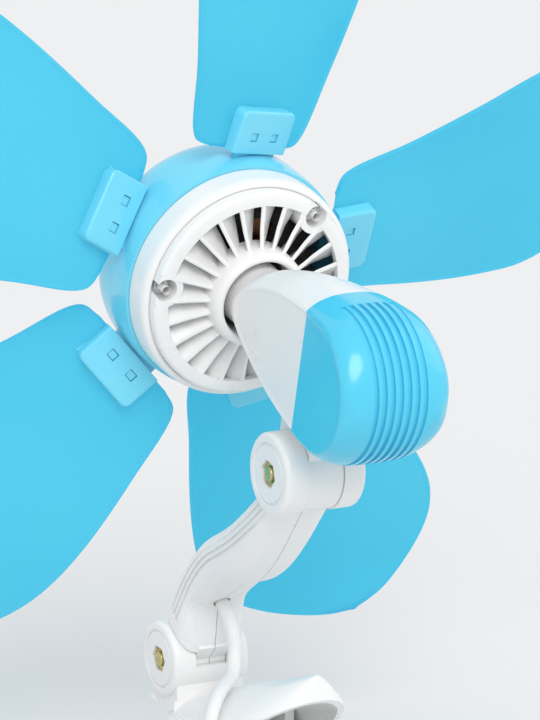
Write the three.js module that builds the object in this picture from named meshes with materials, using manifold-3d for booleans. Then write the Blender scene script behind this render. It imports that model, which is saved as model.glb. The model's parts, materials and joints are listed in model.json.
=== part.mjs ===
// Clip fan: a five-bladed fan head on a two-knuckle arm that stands on a spring clip.
// Millimetres, +Z up. The origin lies on the underside of the clip, the fan blows towards -Y.
import * as THREE from 'three';
import { mergeVertices } from 'three/addons/utils/BufferGeometryUtils.js';
import Module from 'manifold-3d';

const wasm = await Module();
wasm.setup();

// ---------------------------------------------------------------- driving dimensions
const GAP = 0.3; // between faces that touch
const RAD = Math.PI / 180;

// posture at rest
const ARM_ELEVATION = 45.7; // degrees above the horizontal
const HEAD_TILT = 14.3; // degrees that the fan looks up
const LOW_KNUCKLE = { y: -17.3, z: 57 }; // axis of the arm on the clip
const TOP_KNUCKLE = { y: 61.5, z: -47.9 }; // axis of the head on the arm, in the head's frame

// rotor
const BLADE_COUNT = 5;
const FIRST_BLADE = 77.3; // degrees
const BLADE_TIP = 200.5;
const BLADE_THICK = 1.6;
const BLADE_CAMBER = 2;
const COWL_RADIUS = 47.7;
const COWL_DEPTH = 52;
const COWL_WALL = 2;
const BLADE_ROOT = COWL_RADIUS + 1.2;
const COVER_RADIUS = COWL_RADIUS - COWL_WALL;
const COVER_BAND = 8.9; // from the cover's outside to its vent
const VENT_OUT = COVER_RADIUS - COVER_BAND;
const STEM_RADIUS = 13.8; // front of the head housing
const COLLAR_BORE = STEM_RADIUS + 2.2;
const COLLAR_WALL = 3.9;
const VENT_IN = COLLAR_BORE + COLLAR_WALL;
const VANE_COUNT = 24;
const VANE_SWEEP = 9; // degrees that a vane leans over its depth
const WELL_RADIUS = 4.5;
const WELL_PLACE = COVER_RADIUS - 7.2;
const WELL_ANGLES = [172.5, 52.5, -67.5];
const POST_RADIUS = 3.6;

// socket on each blade and the tongue of the cowl in it
const SOCKET = {
  width: 30, from: COWL_RADIUS + 0.9, to: COWL_RADIUS + 19.8, height: 5.8, root: -0.55,
  lean: 17.5, y: -27.6, shift: 2.1, round: 3, bevel: 0.8,
};
const SOCKET_WALL = 4;
const TONGUE = {
  width: SOCKET.width - 2 * SOCKET_WALL, to: SOCKET.to - 3.3, low: 1.45, high: SOCKET.height - 1.95,
};
const SNAP = {
  place: 5.67, radius: COWL_RADIUS + 9.1, width: 3.4, length: 2.9, high: SOCKET.height - 0.6,
};

// motor
const SHAFT_RADIUS = 5;
const SHAFT_BORE = 3;
const BEARING_RADIUS = 11;
const BEARING_WIDTH = 5;
const CAN_RADIUS = WELL_PLACE - POST_RADIUS - 1.9;
const CAN_WALL = 2;
const CAN_FRONT = 6 - COWL_DEPTH;
const AIR_GAP = 0.8;

// head housing
const HOUSING_WALL = 2.2;
const HOUSING_SPLIT = 75.6;
const TAIL_RADIUS = 30;
const TAIL_CENTRE = { y: 90, z: 2 };
const GROOVE_COUNT = 7;
const GROOVE_PITCH = 3.4;
const GROOVE_WIDTH = 1.4;
const GROOVE_DEPTH = 1;

// arm and knuckles
const ARM_LENGTH = 136.1;
const ARM_HALF_WIDTH = 12;
const ARM_WALL = 2.4;
const KNUCKLE_HALF_WIDTH = 17;
const TONGUE_HALF_WIDTH = 7.2;
const EAR_INSIDE = TONGUE_HALF_WIDTH + GAP;
const TOP_EAR_RADIUS = 16;
const LOW_EAR_RADIUS = 15.6;
const TOP_TONGUE_RADIUS = TOP_EAR_RADIUS - 0.6;
const LOW_TONGUE_RADIUS = LOW_EAR_RADIUS - 3.2;
const BOLT_RADIUS = 3;
const BORE_RADIUS = BOLT_RADIUS + 0.25;
const HEX_RECESS = 2 * BOLT_RADIUS + 4; // across flats
const RECESS_DEPTH = 5.5;
const RECESS_FLOOR = KNUCKLE_HALF_WIDTH - RECESS_DEPTH;
const CORD_RADIUS = 2.8;
const CORD_HOLE = { along: 36.5, radius: CORD_RADIUS + 0.8 };

// clip
const CLIP = { y: 29.2, halfLength: 57, halfWidth: 27, wall: 2.4 };
const CROWN = { y: -14.8, z: 40.7, slope: 0.349 };
const RIM = { y: 4.2, z: 7.7, slope: 0.7 };
const PAD = { thick: 1.6, from: -21, to: 8, halfWidth: 17, apart: 2.2 };
const UPPER_JAW_Z = 22;
const LOWER_JAW_Z = UPPER_JAW_Z - 2 * (PAD.thick + GAP) - PAD.apart;
const JAW_BACK = 12;
const LUG = { lowerFrom: 12.4, lowerTo: 16.6, upperFrom: 17, upperTo: 21, wall: 3.5 };
const PIN = { y: 22.7, z: UPPER_JAW_Z - 1, radius: 2.5, halfLength: LUG.upperTo + 1.5 };
const SPRING = {
  wire: 1.8, radius: PIN.radius + 2.9, pitch: 3, turns: 5, steps: 8, sides: 5,
  upperLeg: { angle: 52, length: 39 }, lowerLeg: { angle: -22, length: 33 },
};

// cord
const CORD_SIDES = 8;
const CORD_STEP = 12;
const COIL = {
  x: 123, y: 20, z: 4.2, outer: 38.5, pitch: 2 * CORD_RADIUS + 0.8, turns: 2.375, climb: 0.5,
  layer: 2 * CORD_RADIUS + 0.6, draw: 1.6, stub: 6, steps: 20, sides: 6,
};
const SWITCH = { x: 84, y: 82.5, length: 50, halfWidth: 9.5, split: 4.2, height: 12.4 };
const ROCKER = { halfLength: 7, halfWidth: 4.2, axis: 10.4, tilt: 8, slack: 0.6 };
const PLUG = { x: 92, y: -18.5, z: 7, sleeve: 12, length: 24, halfWidth: 13, halfHeight: 6.9 };
const PRONG = { radius: 2, length: 19, apart: 19 };
const STRAP = { thick: 0.9, width: 5, slack: 0.35 };

// ---------------------------------------------------------------- small tools
function solidOf(geometry) {
  const bare = new THREE.BufferGeometry();
  bare.setAttribute('position', geometry.getAttribute('position'));
  if (geometry.index) bare.setIndex(geometry.index);
  const merged = mergeVertices(bare, 1e-4);
  const corner = merged.index.array;
  const place = merged.getAttribute('position').array;
  const faces = [];
  let volume = 0;
  for (let i = 0; i < corner.length; i += 3) {
    const [a, b, c] = [corner[i], corner[i + 1], corner[i + 2]];
    if (a === b || b === c || c === a) continue;
    faces.push(a, b, c);
    const p = new THREE.Vector3().fromArray(place, 3 * a);
    const q = new THREE.Vector3().fromArray(place, 3 * b);
    const r = new THREE.Vector3().fromArray(place, 3 * c);
    volume += p.dot(q.cross(r));
  }
  if (volume < 0) faces.reverse();
  return new wasm.Manifold(
    new wasm.Mesh({
      numProp: 3,
      vertProperties: Float32Array.from(place),
      triVerts: Uint32Array.from(faces),
    }),
  );
}

function geometryOf(solid) {
  const mesh = solid.getMesh();
  const geometry = new THREE.BufferGeometry();
  geometry.setAttribute('position', new THREE.BufferAttribute(mesh.vertProperties, 3));
  geometry.setIndex(new THREE.BufferAttribute(mesh.triVerts, 1));
  return geometry;
}

function joined(first, ...rest) {
  return rest.reduce((sum, geometry) => sum.add(solidOf(geometry)), solidOf(first));
}

function block(x0, x1, y0, y1, z0, z1) {
  const box = new THREE.BoxGeometry(x1 - x0, y1 - y0, z1 - z0);
  return box.translate((x0 + x1) / 2, (y0 + y1) / 2, (z0 + z1) / 2);
}

function rodX(radius, x0, x1, y, z, sides = 32) {
  const rod = new THREE.CylinderGeometry(radius, radius, x1 - x0, sides);
  return rod.rotateZ(Math.PI / 2).translate((x0 + x1) / 2, y, z);
}

function rodY(radius, y0, y1, x, z, sides = 24) {
  const rod = new THREE.CylinderGeometry(radius, radius, y1 - y0, sides);
  return rod.translate(x, (y0 + y1) / 2, z);
}

function hexX(acrossFlats, x0, x1, y, z) {
  return rodX(acrossFlats / Math.sqrt(3), x0, x1, y, z, 6);
}

// closed outline of [radius, y] pairs, turned about the Y axis
function turned(outline, sides) {
  const profile = [...outline, outline[0]].map(([r, y]) => new THREE.Vector2(r, y));
  return new THREE.LatheGeometry(profile, sides);
}

// outline of [y, z] pairs, as thick as x0 to x1
function plateX(outline, x0, x1) {
  const shape = new THREE.Shape(outline.map(([y, z]) => new THREE.Vector2(y, z)));
  const plate = new THREE.ExtrudeGeometry(shape, { depth: x1 - x0, bevelEnabled: false });
  const toX = new THREE.Matrix4().set(0, 0, 1, x0, 1, 0, 0, 0, 0, 1, 0, 0, 0, 0, 0, 1);
  return plate.applyMatrix4(toX);
}

// outline of [x, y] pairs, as high as z0 to z1
function plateZ(outline, z0, z1) {
  const shape = new THREE.Shape(outline.map(([x, y]) => new THREE.Vector2(x, y)));
  const plate = new THREE.ExtrudeGeometry(shape, { depth: z1 - z0, bevelEnabled: false });
  return plate.translate(0, 0, z0);
}

// skin over rings of the same number of points, closed at both ends
function loft(rings) {
  const sides = rings[0].length;
  const points = rings.flat();
  const faces = [];
  for (let i = 0; i + 1 < rings.length; i += 1) {
    for (let k = 0; k < sides; k += 1) {
      const a = i * sides + k;
      const b = i * sides + ((k + 1) % sides);
      faces.push(a, b, b + sides, a, b + sides, a + sides);
    }
  }
  for (const [ring, flip] of [[0, true], [rings.length - 1, false]]) {
    const centre = new THREE.Vector3();
    rings[ring].forEach((p) => centre.addScaledVector(p, 1 / sides));
    points.push(centre);
    for (let k = 0; k < sides; k += 1) {
      const a = ring * sides + k;
      const b = ring * sides + ((k + 1) % sides);
      faces.push(...(flip ? [b, a, points.length - 1] : [a, b, points.length - 1]));
    }
  }
  const geometry = new THREE.BufferGeometry();
  const flat = points.flatMap((p) => [p.x, p.y, p.z]);
  geometry.setAttribute('position', new THREE.Float32BufferAttribute(flat, 3));
  geometry.setIndex(faces);
  return geometry;
}

function hexahedron(corners) {
  const points = corners.map((c) => new THREE.Vector3(...c));
  return loft([points.slice(0, 4), points.slice(4)]);
}

// straight lines between [at, value] pairs
function along(pairs, at) {
  const last = pairs.length - 1;
  if (at <= pairs[0][0]) return pairs[0][1];
  if (at >= pairs[last][0]) return pairs[last][1];
  const i = pairs.findIndex(([a]) => a > at);
  const share = (at - pairs[i - 1][0]) / (pairs[i][0] - pairs[i - 1][0]);
  return THREE.MathUtils.lerp(pairs[i - 1][1], pairs[i][1], share);
}

// point of a superellipse at an angle
function superPoint(angle, halfX, halfZ, power) {
  const reach = (value) => Math.sign(value) * Math.abs(value) ** (2 / power);
  return [halfX * reach(Math.cos(angle)), halfZ * reach(Math.sin(angle))];
}

function material(color, roughness, metalness = 0) {
  return new THREE.MeshStandardMaterial({ color, roughness, metalness });
}

const WHITE = material('#eceae6', 0.35);
const BLUE = material('#35bfe8', 0.3);
const PALE_BLUE = material('#7fd0f0', 0.25);
const BLACK = material('#17181a', 0.5);
const STEEL = material('#b9bcc0', 0.3, 1);
const BRASS = material('#c9a24a', 0.35, 1);
const COPPER = material('#b5652f', 0.4, 1);
const RUBBER = material('#2b2c2e', 0.9);

const model = new THREE.Group();
const arm = new THREE.Group();
const head = new THREE.Group();
model.add(arm, head);

arm.position.set(0, LOW_KNUCKLE.y, LOW_KNUCKLE.z);
arm.rotation.x = ARM_ELEVATION * RAD;
head.rotation.x = -HEAD_TILT * RAD;
head.position.copy(
  new THREE.Vector3(0, ARM_LENGTH, 0)
    .applyEuler(arm.rotation)
    .add(arm.position)
    .sub(new THREE.Vector3(0, TOP_KNUCKLE.y, TOP_KNUCKLE.z).applyEuler(head.rotation)),
);

function piece(group, name, shape, look) {
  const geometry = shape.isBufferGeometry ? geometryOf(solidOf(shape)) : geometryOf(shape);
  const mesh = new THREE.Mesh(geometry, look);
  mesh.name = name;
  group.add(mesh);
  return mesh;
}

// turns a geometry made at the top of the rotor to an angle
function atAngle(geometry, degrees) {
  return geometry.rotateY((degrees - 90) * RAD);
}

// ---------------------------------------------------------------- rotor
function rotorCover() {
  const wall = 2;
  const [r, b] = [COVER_RADIUS, COLLAR_BORE];
  const ring = turned(
    [
      [r, -11.4], [r - 0.3, -2.5], [r - 2.1, 0], [r - 2.7, 0], [r - 2.7, -0.7], [r - 3.3, -0.7],
      [r - 3.3, 2.6], [r - 5.2, 4.4], [VENT_OUT, 4.6], [VENT_OUT, 1.5], [r - 5.1, 0.6],
      [r - 2.7, -3.4], [r - wall, -11.4],
    ],
    1.5 * VANE_COUNT,
  );
  const collar = turned(
    [
      [VENT_IN, -1.5], [VENT_IN, 4.6], [VENT_IN - 0.9, 7.3], [b + 1.4, 8.6], [b + 0.3, 8],
      [b, 6.5], [b, -1.5],
    ],
    VANE_COUNT,
  );
  const pitch = 360 / VANE_COUNT;
  ring.rotateY((pitch / 6) * RAD);
  collar.rotateY((pitch / 2) * RAD); // each vane meets the middle of a facet
  let cover = joined(ring, collar);
  for (let i = 0; i < VANE_COUNT; i += 1) {
    cover = cover.add(solidOf(atAngle(vane(), pitch * i)));
  }
  for (const angle of WELL_ANGLES) {
    const boss = solidOf(atAngle(rodY(WELL_RADIUS + 2.6, -8, 4.3, 0, WELL_PLACE, 12), angle));
    cover = cover.add(boss.intersect(solidOf(rodY(r - 3.3, -9, 5, 0, 0, 36))));
  }
  for (const angle of WELL_ANGLES) {
    cover = cover.subtract(solidOf(atAngle(rodY(WELL_RADIUS, -3, 6, 0, WELL_PLACE, 14), angle)));
    cover = cover.subtract(solidOf(atAngle(rodY(1.7, -9, 6, 0, WELL_PLACE, 6), angle)));
  }
  return cover;
}

// one louvre: its rear edge is square, its front edge leans clockwise
function vane() {
  const inner = VENT_IN - 0.8;
  const outer = VENT_OUT + 0.7;
  const lean = Math.tan(VANE_SWEEP * RAD);
  const end = (r, half) => [
    [-half, 4.4, r], [half, 4.4, r], [half - r * lean, -2, r], [-half - r * lean, -2, r],
  ];
  return hexahedron([...end(inner, 0.6), ...end(outer, 0.8)]);
}

function coverScrew(angle) {
  const headPart = rodY(3, -3 + GAP, -0.8, 0, WELL_PLACE, 16);
  const shank = rodY(1.3, -17, -2.5, 0, WELL_PLACE, 10);
  const slot = solidOf(block(-2.2, 2.2, -1.6, 0, WELL_PLACE - 0.4, WELL_PLACE + 0.4));
  const cross = solidOf(block(-0.4, 0.4, -1.6, 0, WELL_PLACE - 2.2, WELL_PLACE + 2.2));
  const screw = joined(headPart, shank).subtract(slot).subtract(cross);
  return atAngle(geometryOf(screw), angle);
}

// outside of the cowl from its rim to the nose, as [radius, y]
function cowlOutline() {
  const [r, d] = [COWL_RADIUS, COWL_DEPTH];
  return [
    [r - 0.7, -11.7], [r, -20], [r, -29], [r - 1, 15 - d], [r - 4, 8.5 - d], [r - 11, 3.5 - d],
    [16, 0.6 - d], [0, -d],
  ];
}

function hubCowl() {
  const [r, d, w] = [COWL_RADIUS, COWL_DEPTH, COWL_WALL];
  const inside = [[0, w - d], [r - 12, 5.8 - d], [r - 5.6, 10.5 - d], [r - w, -29], [r - w - 0.7, -11.7]];
  const post = (angle) => atAngle(rodY(POST_RADIUS, 3 - d, -8.3, 0, WELL_PLACE, 8), angle);
  const pilot = (angle) => atAngle(rodY(1.6, -19, -8, 0, WELL_PLACE, 6), angle);
  const within = cowlOutline().map(([x, y]) => [Math.max(x - 0.5, 0), y + 0.5]);
  const room = solidOf(turned([[0, -5], [r - 1, -5], ...within], 30));
  const posts = joined(...WELL_ANGLES.map(post)).intersect(room);
  let cowl = solidOf(turned([...cowlOutline(), ...inside], 30));
  cowl = cowl.add(solidOf(rodY(9, 1 - d, CAN_FRONT - GAP, 0, 0, 16))).add(posts);
  for (const angle of WELL_ANGLES) cowl = cowl.subtract(solidOf(pilot(angle)));
  for (let i = 0; i < BLADE_COUNT; i += 1) {
    cowl = cowl.add(solidOf(atAngle(hubTongue(), FIRST_BLADE + (360 / BLADE_COUNT) * i)));
  }
  return cowl;
}

// flat bar with two snap bumps, in the leaning frame of a socket
function hubTongue() {
  const half = TONGUE.width / 2;
  const bar = block(-half, half, TONGUE.low, TONGUE.high, COWL_RADIUS - 3.5, TONGUE.to);
  const bump = (side) =>
    block(
      side * SNAP.place - SNAP.width / 2, side * SNAP.place + SNAP.width / 2,
      TONGUE.high - 0.2, SNAP.high,
      SNAP.radius - SNAP.length / 2, SNAP.radius + SNAP.length / 2,
    );
  return leaned(geometryOf(joined(bar, bump(-1), bump(1))));
}

function leaned(geometry) {
  return geometry.translate(SOCKET.shift, 0, 0).rotateZ(SOCKET.lean * RAD).translate(0, SOCKET.y, 0);
}

// edges of a blade as [distance from the axis, across, rearwards], from the root to the tip
const TRAILING_EDGE = [
  [48.9, -15, -33.4], [51.5, -23, -36.1], [81.5, -30.3, -40.9], [116, -36.8, -47],
  [140, -39.3, -50.8], [156, -39, -52.2], [170, -33.6, -51.6], [184.3, -19.6, -49],
  [196, -0.9, -46], [200.5, 14, -44],
];
const LEADING_EDGE = [
  [48.9, 25, -21.1], [51.5, 33, -19], [81, 43.2, -16.9], [114, 53.7, -18],
  [136, 59.4, -22.2], [152, 61, -27.3], [167.5, 58.2, -32.4], [184, 48.7, -38],
  [196.4, 34.3, -41], [200.5, 21, -43],
];
const [EDGE_ROOT, EDGE_TIP] = [48.9, 200.5]; // as drawn above

function edgeCurve(edge) {
  const stretch = (BLADE_TIP - BLADE_ROOT) / (EDGE_TIP - EDGE_ROOT);
  const radial = (s) => BLADE_ROOT + (s - EDGE_ROOT) * stretch;
  return new THREE.CatmullRomCurve3(edge.map(([s, c, y]) => new THREE.Vector3(c, y, radial(s))));
}

function bladePlate(stations = 12, across = 4) {
  const trailing = edgeCurve(TRAILING_EDGE);
  const leading = edgeCurve(LEADING_EDGE);
  const rings = [];
  for (let i = 0; i < stations; i += 1) {
    const t = i / (stations - 1);
    const from = trailing.getPoint(t);
    const to = leading.getPoint(t);
    const rear = [];
    const front = [];
    for (let k = 0; k <= across; k += 1) {
      const u = k / across;
      const half = k === 0 || k === across ? 0.3 * BLADE_THICK : 0.5 * BLADE_THICK;
      const middle = from.clone().lerp(to, u);
      middle.y += 4 * BLADE_CAMBER * u * (1 - u);
      rear.push(middle.clone().setY(middle.y + half));
      front.unshift(middle.clone().setY(middle.y - half));
    }
    rings.push([...rear, ...front]);
  }
  return loft(rings);
}

// outline of a socket at one height, drawn in by an inset
function socketRing(height, inset) {
  const { width, from, to, round } = SOCKET;
  const half = width / 2 - inset;
  const end = to - inset;
  const ring = [[-half, from], [half, from]];
  for (const [side, start] of [[1, 0], [-1, 90]]) {
    for (let k = 0; k <= 3; k += 1) {
      const angle = (start + 30 * k) * RAD;
      ring.push([side * (half - round) + round * Math.cos(angle), end - round + round * Math.sin(angle)]);
    }
  }
  return ring.map(([c, s]) => new THREE.Vector3(c, height, s));
}

function blade(angle) {
  const { from, height, root, bevel } = SOCKET;
  const half = TONGUE.width / 2;
  const socket = loft([socketRing(root, 0), socketRing(height - bevel, 0), socketRing(height, bevel)]);
  let body = joined(bladePlate(), leaned(socket));
  const slack = 0.3;
  const cavity = block(
    -half - slack, half + slack, TONGUE.low - slack, TONGUE.high + slack,
    from - 5, TONGUE.to + slack,
  );
  body = body.subtract(solidOf(leaned(cavity)));
  for (const side of [-1, 1]) {
    const x = side * SNAP.place;
    const slot = block(
      x - SNAP.width / 2 - slack, x + SNAP.width / 2 + slack, TONGUE.high, height + 2,
      SNAP.radius - SNAP.length / 2 - slack, SNAP.radius + SNAP.length / 2 + slack,
    );
    body = body.subtract(solidOf(leaned(slot)));
  }
  return atAngle(geometryOf(body), angle);
}

// ---------------------------------------------------------------- motor
function rotorCan() {
  const seat = BEARING_RADIUS + 0.25;
  const inside = CAN_RADIUS - CAN_WALL;
  const hole = SHAFT_RADIUS + 1.5;
  const floor = CAN_FRONT + CAN_WALL;
  const lip = floor + BEARING_WIDTH + 0.2;
  return turned(
    [
      [hole, CAN_FRONT], [CAN_RADIUS, CAN_FRONT], [CAN_RADIUS, -10], [inside, -10],
      [inside, floor], [seat + 2.2, floor], [seat + 2.2, lip], [seat, lip],
      [seat, floor - GAP], [hole, floor - GAP],
    ],
    16,
  );
}

function endCap() {
  const seat = BEARING_RADIUS + 0.25;
  const hole = SHAFT_RADIUS + 3;
  let cap = solidOf(
    turned(
      [
        [seat, -9.7], [CAN_RADIUS, -9.7], [CAN_RADIUS, -8.2], [seat + 2.2, -8.2],
        [seat + 2.2, -3], [hole, -3], [hole, -4.2], [seat, -4.2],
      ],
      16,
    ),
  );
  for (let i = 0; i < 5; i += 1) {
    cap = cap.subtract(solidOf(atAngle(rodY(5.5, -11, -7, 0, 23, 6), 72 * i)));
  }
  return cap;
}

function bearing(y) {
  const inner = SHAFT_RADIUS + 0.2;
  const end = y + BEARING_WIDTH;
  return turned(
    [
      [inner, y], [BEARING_RADIUS, y],
      [BEARING_RADIUS, end], [inner, end],
    ],
    16,
  );
}

function ringY(inner, outer, y0, y1, sides = 16) {
  return turned([[inner, y0], [outer, y0], [outer, y1], [inner, y1]], sides);
}

function shaftNut() {
  const nut = solidOf(rodY(SHAFT_RADIUS + 3, 12 + GAP, 17, 0, 0, 6));
  return nut.subtract(solidOf(rodY(SHAFT_RADIUS + 0.3, 11, 18, 0, 0, 12)));
}

// ---------------------------------------------------------------- head housing
// distance behind the tail's centre, drawn for a radius of 30
const tailAt = (beyond) => TAIL_CENTRE.y + (beyond * TAIL_RADIUS) / 30;
const HOUSING_HALF_HEIGHT = [[-2, STEM_RADIUS], [10, STEM_RADIUS], [88, TAIL_RADIUS]];
const HOUSING_HALF_WIDTH = [
  [-2, STEM_RADIUS], [8, STEM_RADIUS], [20, STEM_RADIUS + 3.2], [40, 21], [60, 24.5], [80, 27],
  [tailAt(5), 27.5], [tailAt(20), 26], [tailAt(26), 23.5], [tailAt(29.5), 19],
];

function housingRing(y, inset, sides) {
  const beyond = y - TAIL_CENTRE.y;
  const round = TAIL_RADIUS - inset;
  const high = beyond > 0
    ? Math.sqrt(Math.max(round ** 2 - beyond ** 2, 1))
    : along(HOUSING_HALF_HEIGHT, y) - inset;
  const wide = along(HOUSING_HALF_WIDTH, y) - inset;
  const middle = along([[10, 0], [TAIL_CENTRE.y, TAIL_CENTRE.z]], y);
  const power = along([[10, 2], [70, 2.4], [100, 3]], y);
  const ring = [];
  for (let k = 0; k < sides; k += 1) {
    const [x, z] = superPoint((2 * Math.PI * k) / sides, wide, high, power);
    ring.push(new THREE.Vector3(x, y, z + middle));
  }
  return ring;
}

function housing(stations, inset, sides = 24) {
  return solidOf(loft(stations.map((y) => housingRing(y, inset, sides)))).intersect(
    solidOf(sideFacets(inset)),
  );
}

// the flat scoops down both sides of the housing bound this wedge
function sideFacets(inset) {
  const slope = 0.121;
  const halfAt = (y) => 13 + slope * (y - 14) - inset;
  const ring = (y) => {
    const half = halfAt(y);
    return [[-half, -50], [half, -50], [half, 50], [-half, 50]].map(
      ([x, z]) => new THREE.Vector3(x, y, z),
    );
  };
  const start = 14;
  const flat = 20;
  const wedge = joined(
    loft([ring(start + 8), ring(140)]),
    block(-flat, flat, -10, start + 8.01, -50, 50),
  );
  return geometryOf(wedge);
}

function motorNeck() {
  const outer = housing([-2, 8, 20, 34, 48, 62, HOUSING_SPLIT], 0);
  const inner = housing([12, 20, 34, 48, 62, HOUSING_SPLIT + 1], HOUSING_WALL, 16);
  const { y, z } = TOP_KNUCKLE;
  const tongue = joined(
    rodX(TOP_TONGUE_RADIUS, -TONGUE_HALF_WIDTH, TONGUE_HALF_WIDTH, y, z, 28),
    block(-TONGUE_HALF_WIDTH, TONGUE_HALF_WIDTH, y - 12, y + 12, z, -20),
  );
  return outer
    .add(tongue)
    .subtract(inner)
    .subtract(solidOf(rodX(BORE_RADIUS, -20, 20, y, z, 14)))
    .subtract(solidOf(rodY(SHAFT_RADIUS + 0.25, -3, 13, 0, 0, 20)));
}

function tailCap() {
  const start = HOUSING_SPLIT + GAP;
  const outer = housing([start, 84, ...[1, 9, 16, 22, 26, 29.3].map(tailAt)], 0);
  const inner = housing([start - 1, 84, ...[1, 9, 16, 22, 26.5].map(tailAt)], HOUSING_WALL, 16);
  let cap = outer.subtract(inner);
  const lowest = TAIL_CENTRE.z - TAIL_RADIUS + 1;
  for (const side of [-1, 1]) {
    const rib = solidOf(block(side * 11 - 1, side * 11 + 1, 84, 100, lowest, -8 - GAP));
    cap = cap.add(rib.intersect(outer));
  }
  for (let i = 0; i < GROOVE_COUNT; i += 1) {
    const x = (i - (GROOVE_COUNT - 1) / 2) * GROOVE_PITCH;
    cap = cap.subtract(solidOf(grooveTool(x)));
  }
  return cap;
}

// part of a ring round the tail's own centre line, from the top over the rear to the bottom
function grooveTool(x) {
  const inner = TAIL_RADIUS - GROOVE_DEPTH;
  const outer = TAIL_RADIUS + 4;
  const point = (radius, degrees) => [
    TAIL_CENTRE.y + radius * Math.cos(degrees * RAD),
    TAIL_CENTRE.z + radius * Math.sin(degrees * RAD),
  ];
  const steps = 8;
  const outline = [];
  for (let i = 0; i <= steps; i += 1) outline.push(point(inner, -95 + (190 / steps) * i));
  for (let i = steps; i >= 0; i -= 1) outline.push(point(outer, -95 + (190 / steps) * i));
  return plateX(outline, x - GROOVE_WIDTH / 2, x + GROOVE_WIDTH / 2);
}

// ---------------------------------------------------------------- knuckle hardware
// outer face of an ear: a bevelled rim, a ring groove, a raised disc and a hexagonal recess
function earFace(side, radius, y, z) {
  const at = (a, b) => (side > 0 ? [a, b] : [-b, -a]);
  const [rimFrom, rimTo] = at(KNUCKLE_HALF_WIDTH - 1, KNUCKLE_HALF_WIDTH + 1);
  const [grooveFrom, grooveTo] = at(KNUCKLE_HALF_WIDTH - 0.8, KNUCKLE_HALF_WIDTH + 1);
  const [recessFrom, recessTo] = at(RECESS_FLOOR, KNUCKLE_HALF_WIDTH + 2);
  const rim = solidOf(rodX(radius + 4, rimFrom, rimTo, y, z, 12)).subtract(
    solidOf(rodX(radius - 1.2, rimFrom - 1, rimTo + 1, y, z, 20)),
  );
  const groove = solidOf(rodX(12.2, grooveFrom, grooveTo, y, z, 18)).subtract(
    solidOf(rodX(11, grooveFrom - 1, grooveTo + 1, y, z, 18)),
  );
  const recess = solidOf(hexX(HEX_RECESS, recessFrom, recessTo, y, z));
  const bore = solidOf(rodX(BORE_RADIUS, ...at(0, RECESS_FLOOR + 1), y, z, 14));
  return rim.add(groove).add(recess).add(bore);
}

function bolt(y, z) {
  const headEnd = -RECESS_FLOOR - GAP - 4;
  return joined(
    rodX(BOLT_RADIUS, -RECESS_FLOOR - 1, RECESS_FLOOR + 5.5, y, z, 12),
    hexX(HEX_RECESS - 0.6, headEnd, -RECESS_FLOOR - GAP, y, z),
  );
}

function nut(y, z) {
  const from = RECESS_FLOOR + GAP;
  return solidOf(hexX(HEX_RECESS - 0.6, from, from + 4, y, z)).subtract(
    solidOf(rodX(BOLT_RADIUS + 0.2, from - 1, from + 5, y, z, 12)),
  );
}

// ---------------------------------------------------------------- arm
const ARM_FRONT = [
  [14, 16], [24, 17.7], [34, 19.2], [43, 20.1], [52, 20], [62, 18.6], [73, 15], [84.4, 11.5],
  [97, 8.6], [112, 5.8], [123, 4.4],
];
const ARM_REAR = [
  [14, -8.6], [20, -5.6], [30.6, 1.6], [36.9, 2.3], [48.8, -0.2], [59.4, -3.4], [69.7, -8.6],
  [81.6, -11], [97, -11.2], [112, -10], [123, -9],
];

// place on the arm of a point that was drawn for a length of 136.1
const armAt = (drawn) => (drawn * ARM_LENGTH) / 136.1;

function armRing(drawn, inset, sides = 16) {
  const front = along(ARM_FRONT, drawn) - inset;
  const rear = along(ARM_REAR, drawn) + inset;
  const y = armAt(drawn);
  const ring = [];
  for (let k = 0; k < sides; k += 1) {
    const angle = (2 * Math.PI * k) / sides;
    const [x, z] = superPoint(angle, ARM_HALF_WIDTH - inset, (front - rear) / 2, 3.4);
    ring.push(new THREE.Vector3(x, y, z + (front + rear) / 2));
  }
  return ring;
}

function armBody() {
  const stations = [15, 22, 30, 38, 48, 58, 70, 82, 97, 123];
  const outer = solidOf(loft(stations.map((y) => armRing(y, 0))));
  const inner = solidOf(loft(stations.slice(2, -1).map((y) => armRing(y, ARM_WALL, 10))));
  const lowTongue = joined(
    rodX(LOW_TONGUE_RADIUS, -TONGUE_HALF_WIDTH, TONGUE_HALF_WIDTH, 0, 0, 24),
    block(-TONGUE_HALF_WIDTH, TONGUE_HALF_WIDTH, 0, 18, -8, 11.5),
  );
  const ears = rodX(TOP_EAR_RADIUS, -KNUCKLE_HALF_WIDTH, KNUCKLE_HALF_WIDTH, ARM_LENGTH, 0, 24);
  const hole = new THREE.CylinderGeometry(CORD_HOLE.radius, CORD_HOLE.radius, 12, 14)
    .rotateX(Math.PI / 2)
    .translate(0, CORD_HOLE.along, 2);
  const slot = joined(
    rodX(TOP_EAR_RADIUS + 0.1, -EAR_INSIDE, EAR_INSIDE, ARM_LENGTH, 0, 24),
    block(-EAR_INSIDE, EAR_INSIDE, ARM_LENGTH, ARM_LENGTH + 20, -20, 20),
  );
  let body = outer
    .subtract(solidOf(rodX(LOW_EAR_RADIUS + 0.6, -20, 20, 0, 0, 28)))
    .add(solidOf(ears))
    .subtract(inner)
    .add(lowTongue)
    .subtract(slot)
    .subtract(solidOf(hole))
    .subtract(solidOf(rodX(BORE_RADIUS, -20, 20, 0, 0, 14)));
  for (const side of [-1, 1]) {
    body = body.subtract(earFace(side, TOP_EAR_RADIUS, ARM_LENGTH, 0));
    for (let k = 0; k < 4; k += 1) body = body.subtract(solidOf(armGroove(side, 4 + 2.5 * k)));
  }
  return body;
}

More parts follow.
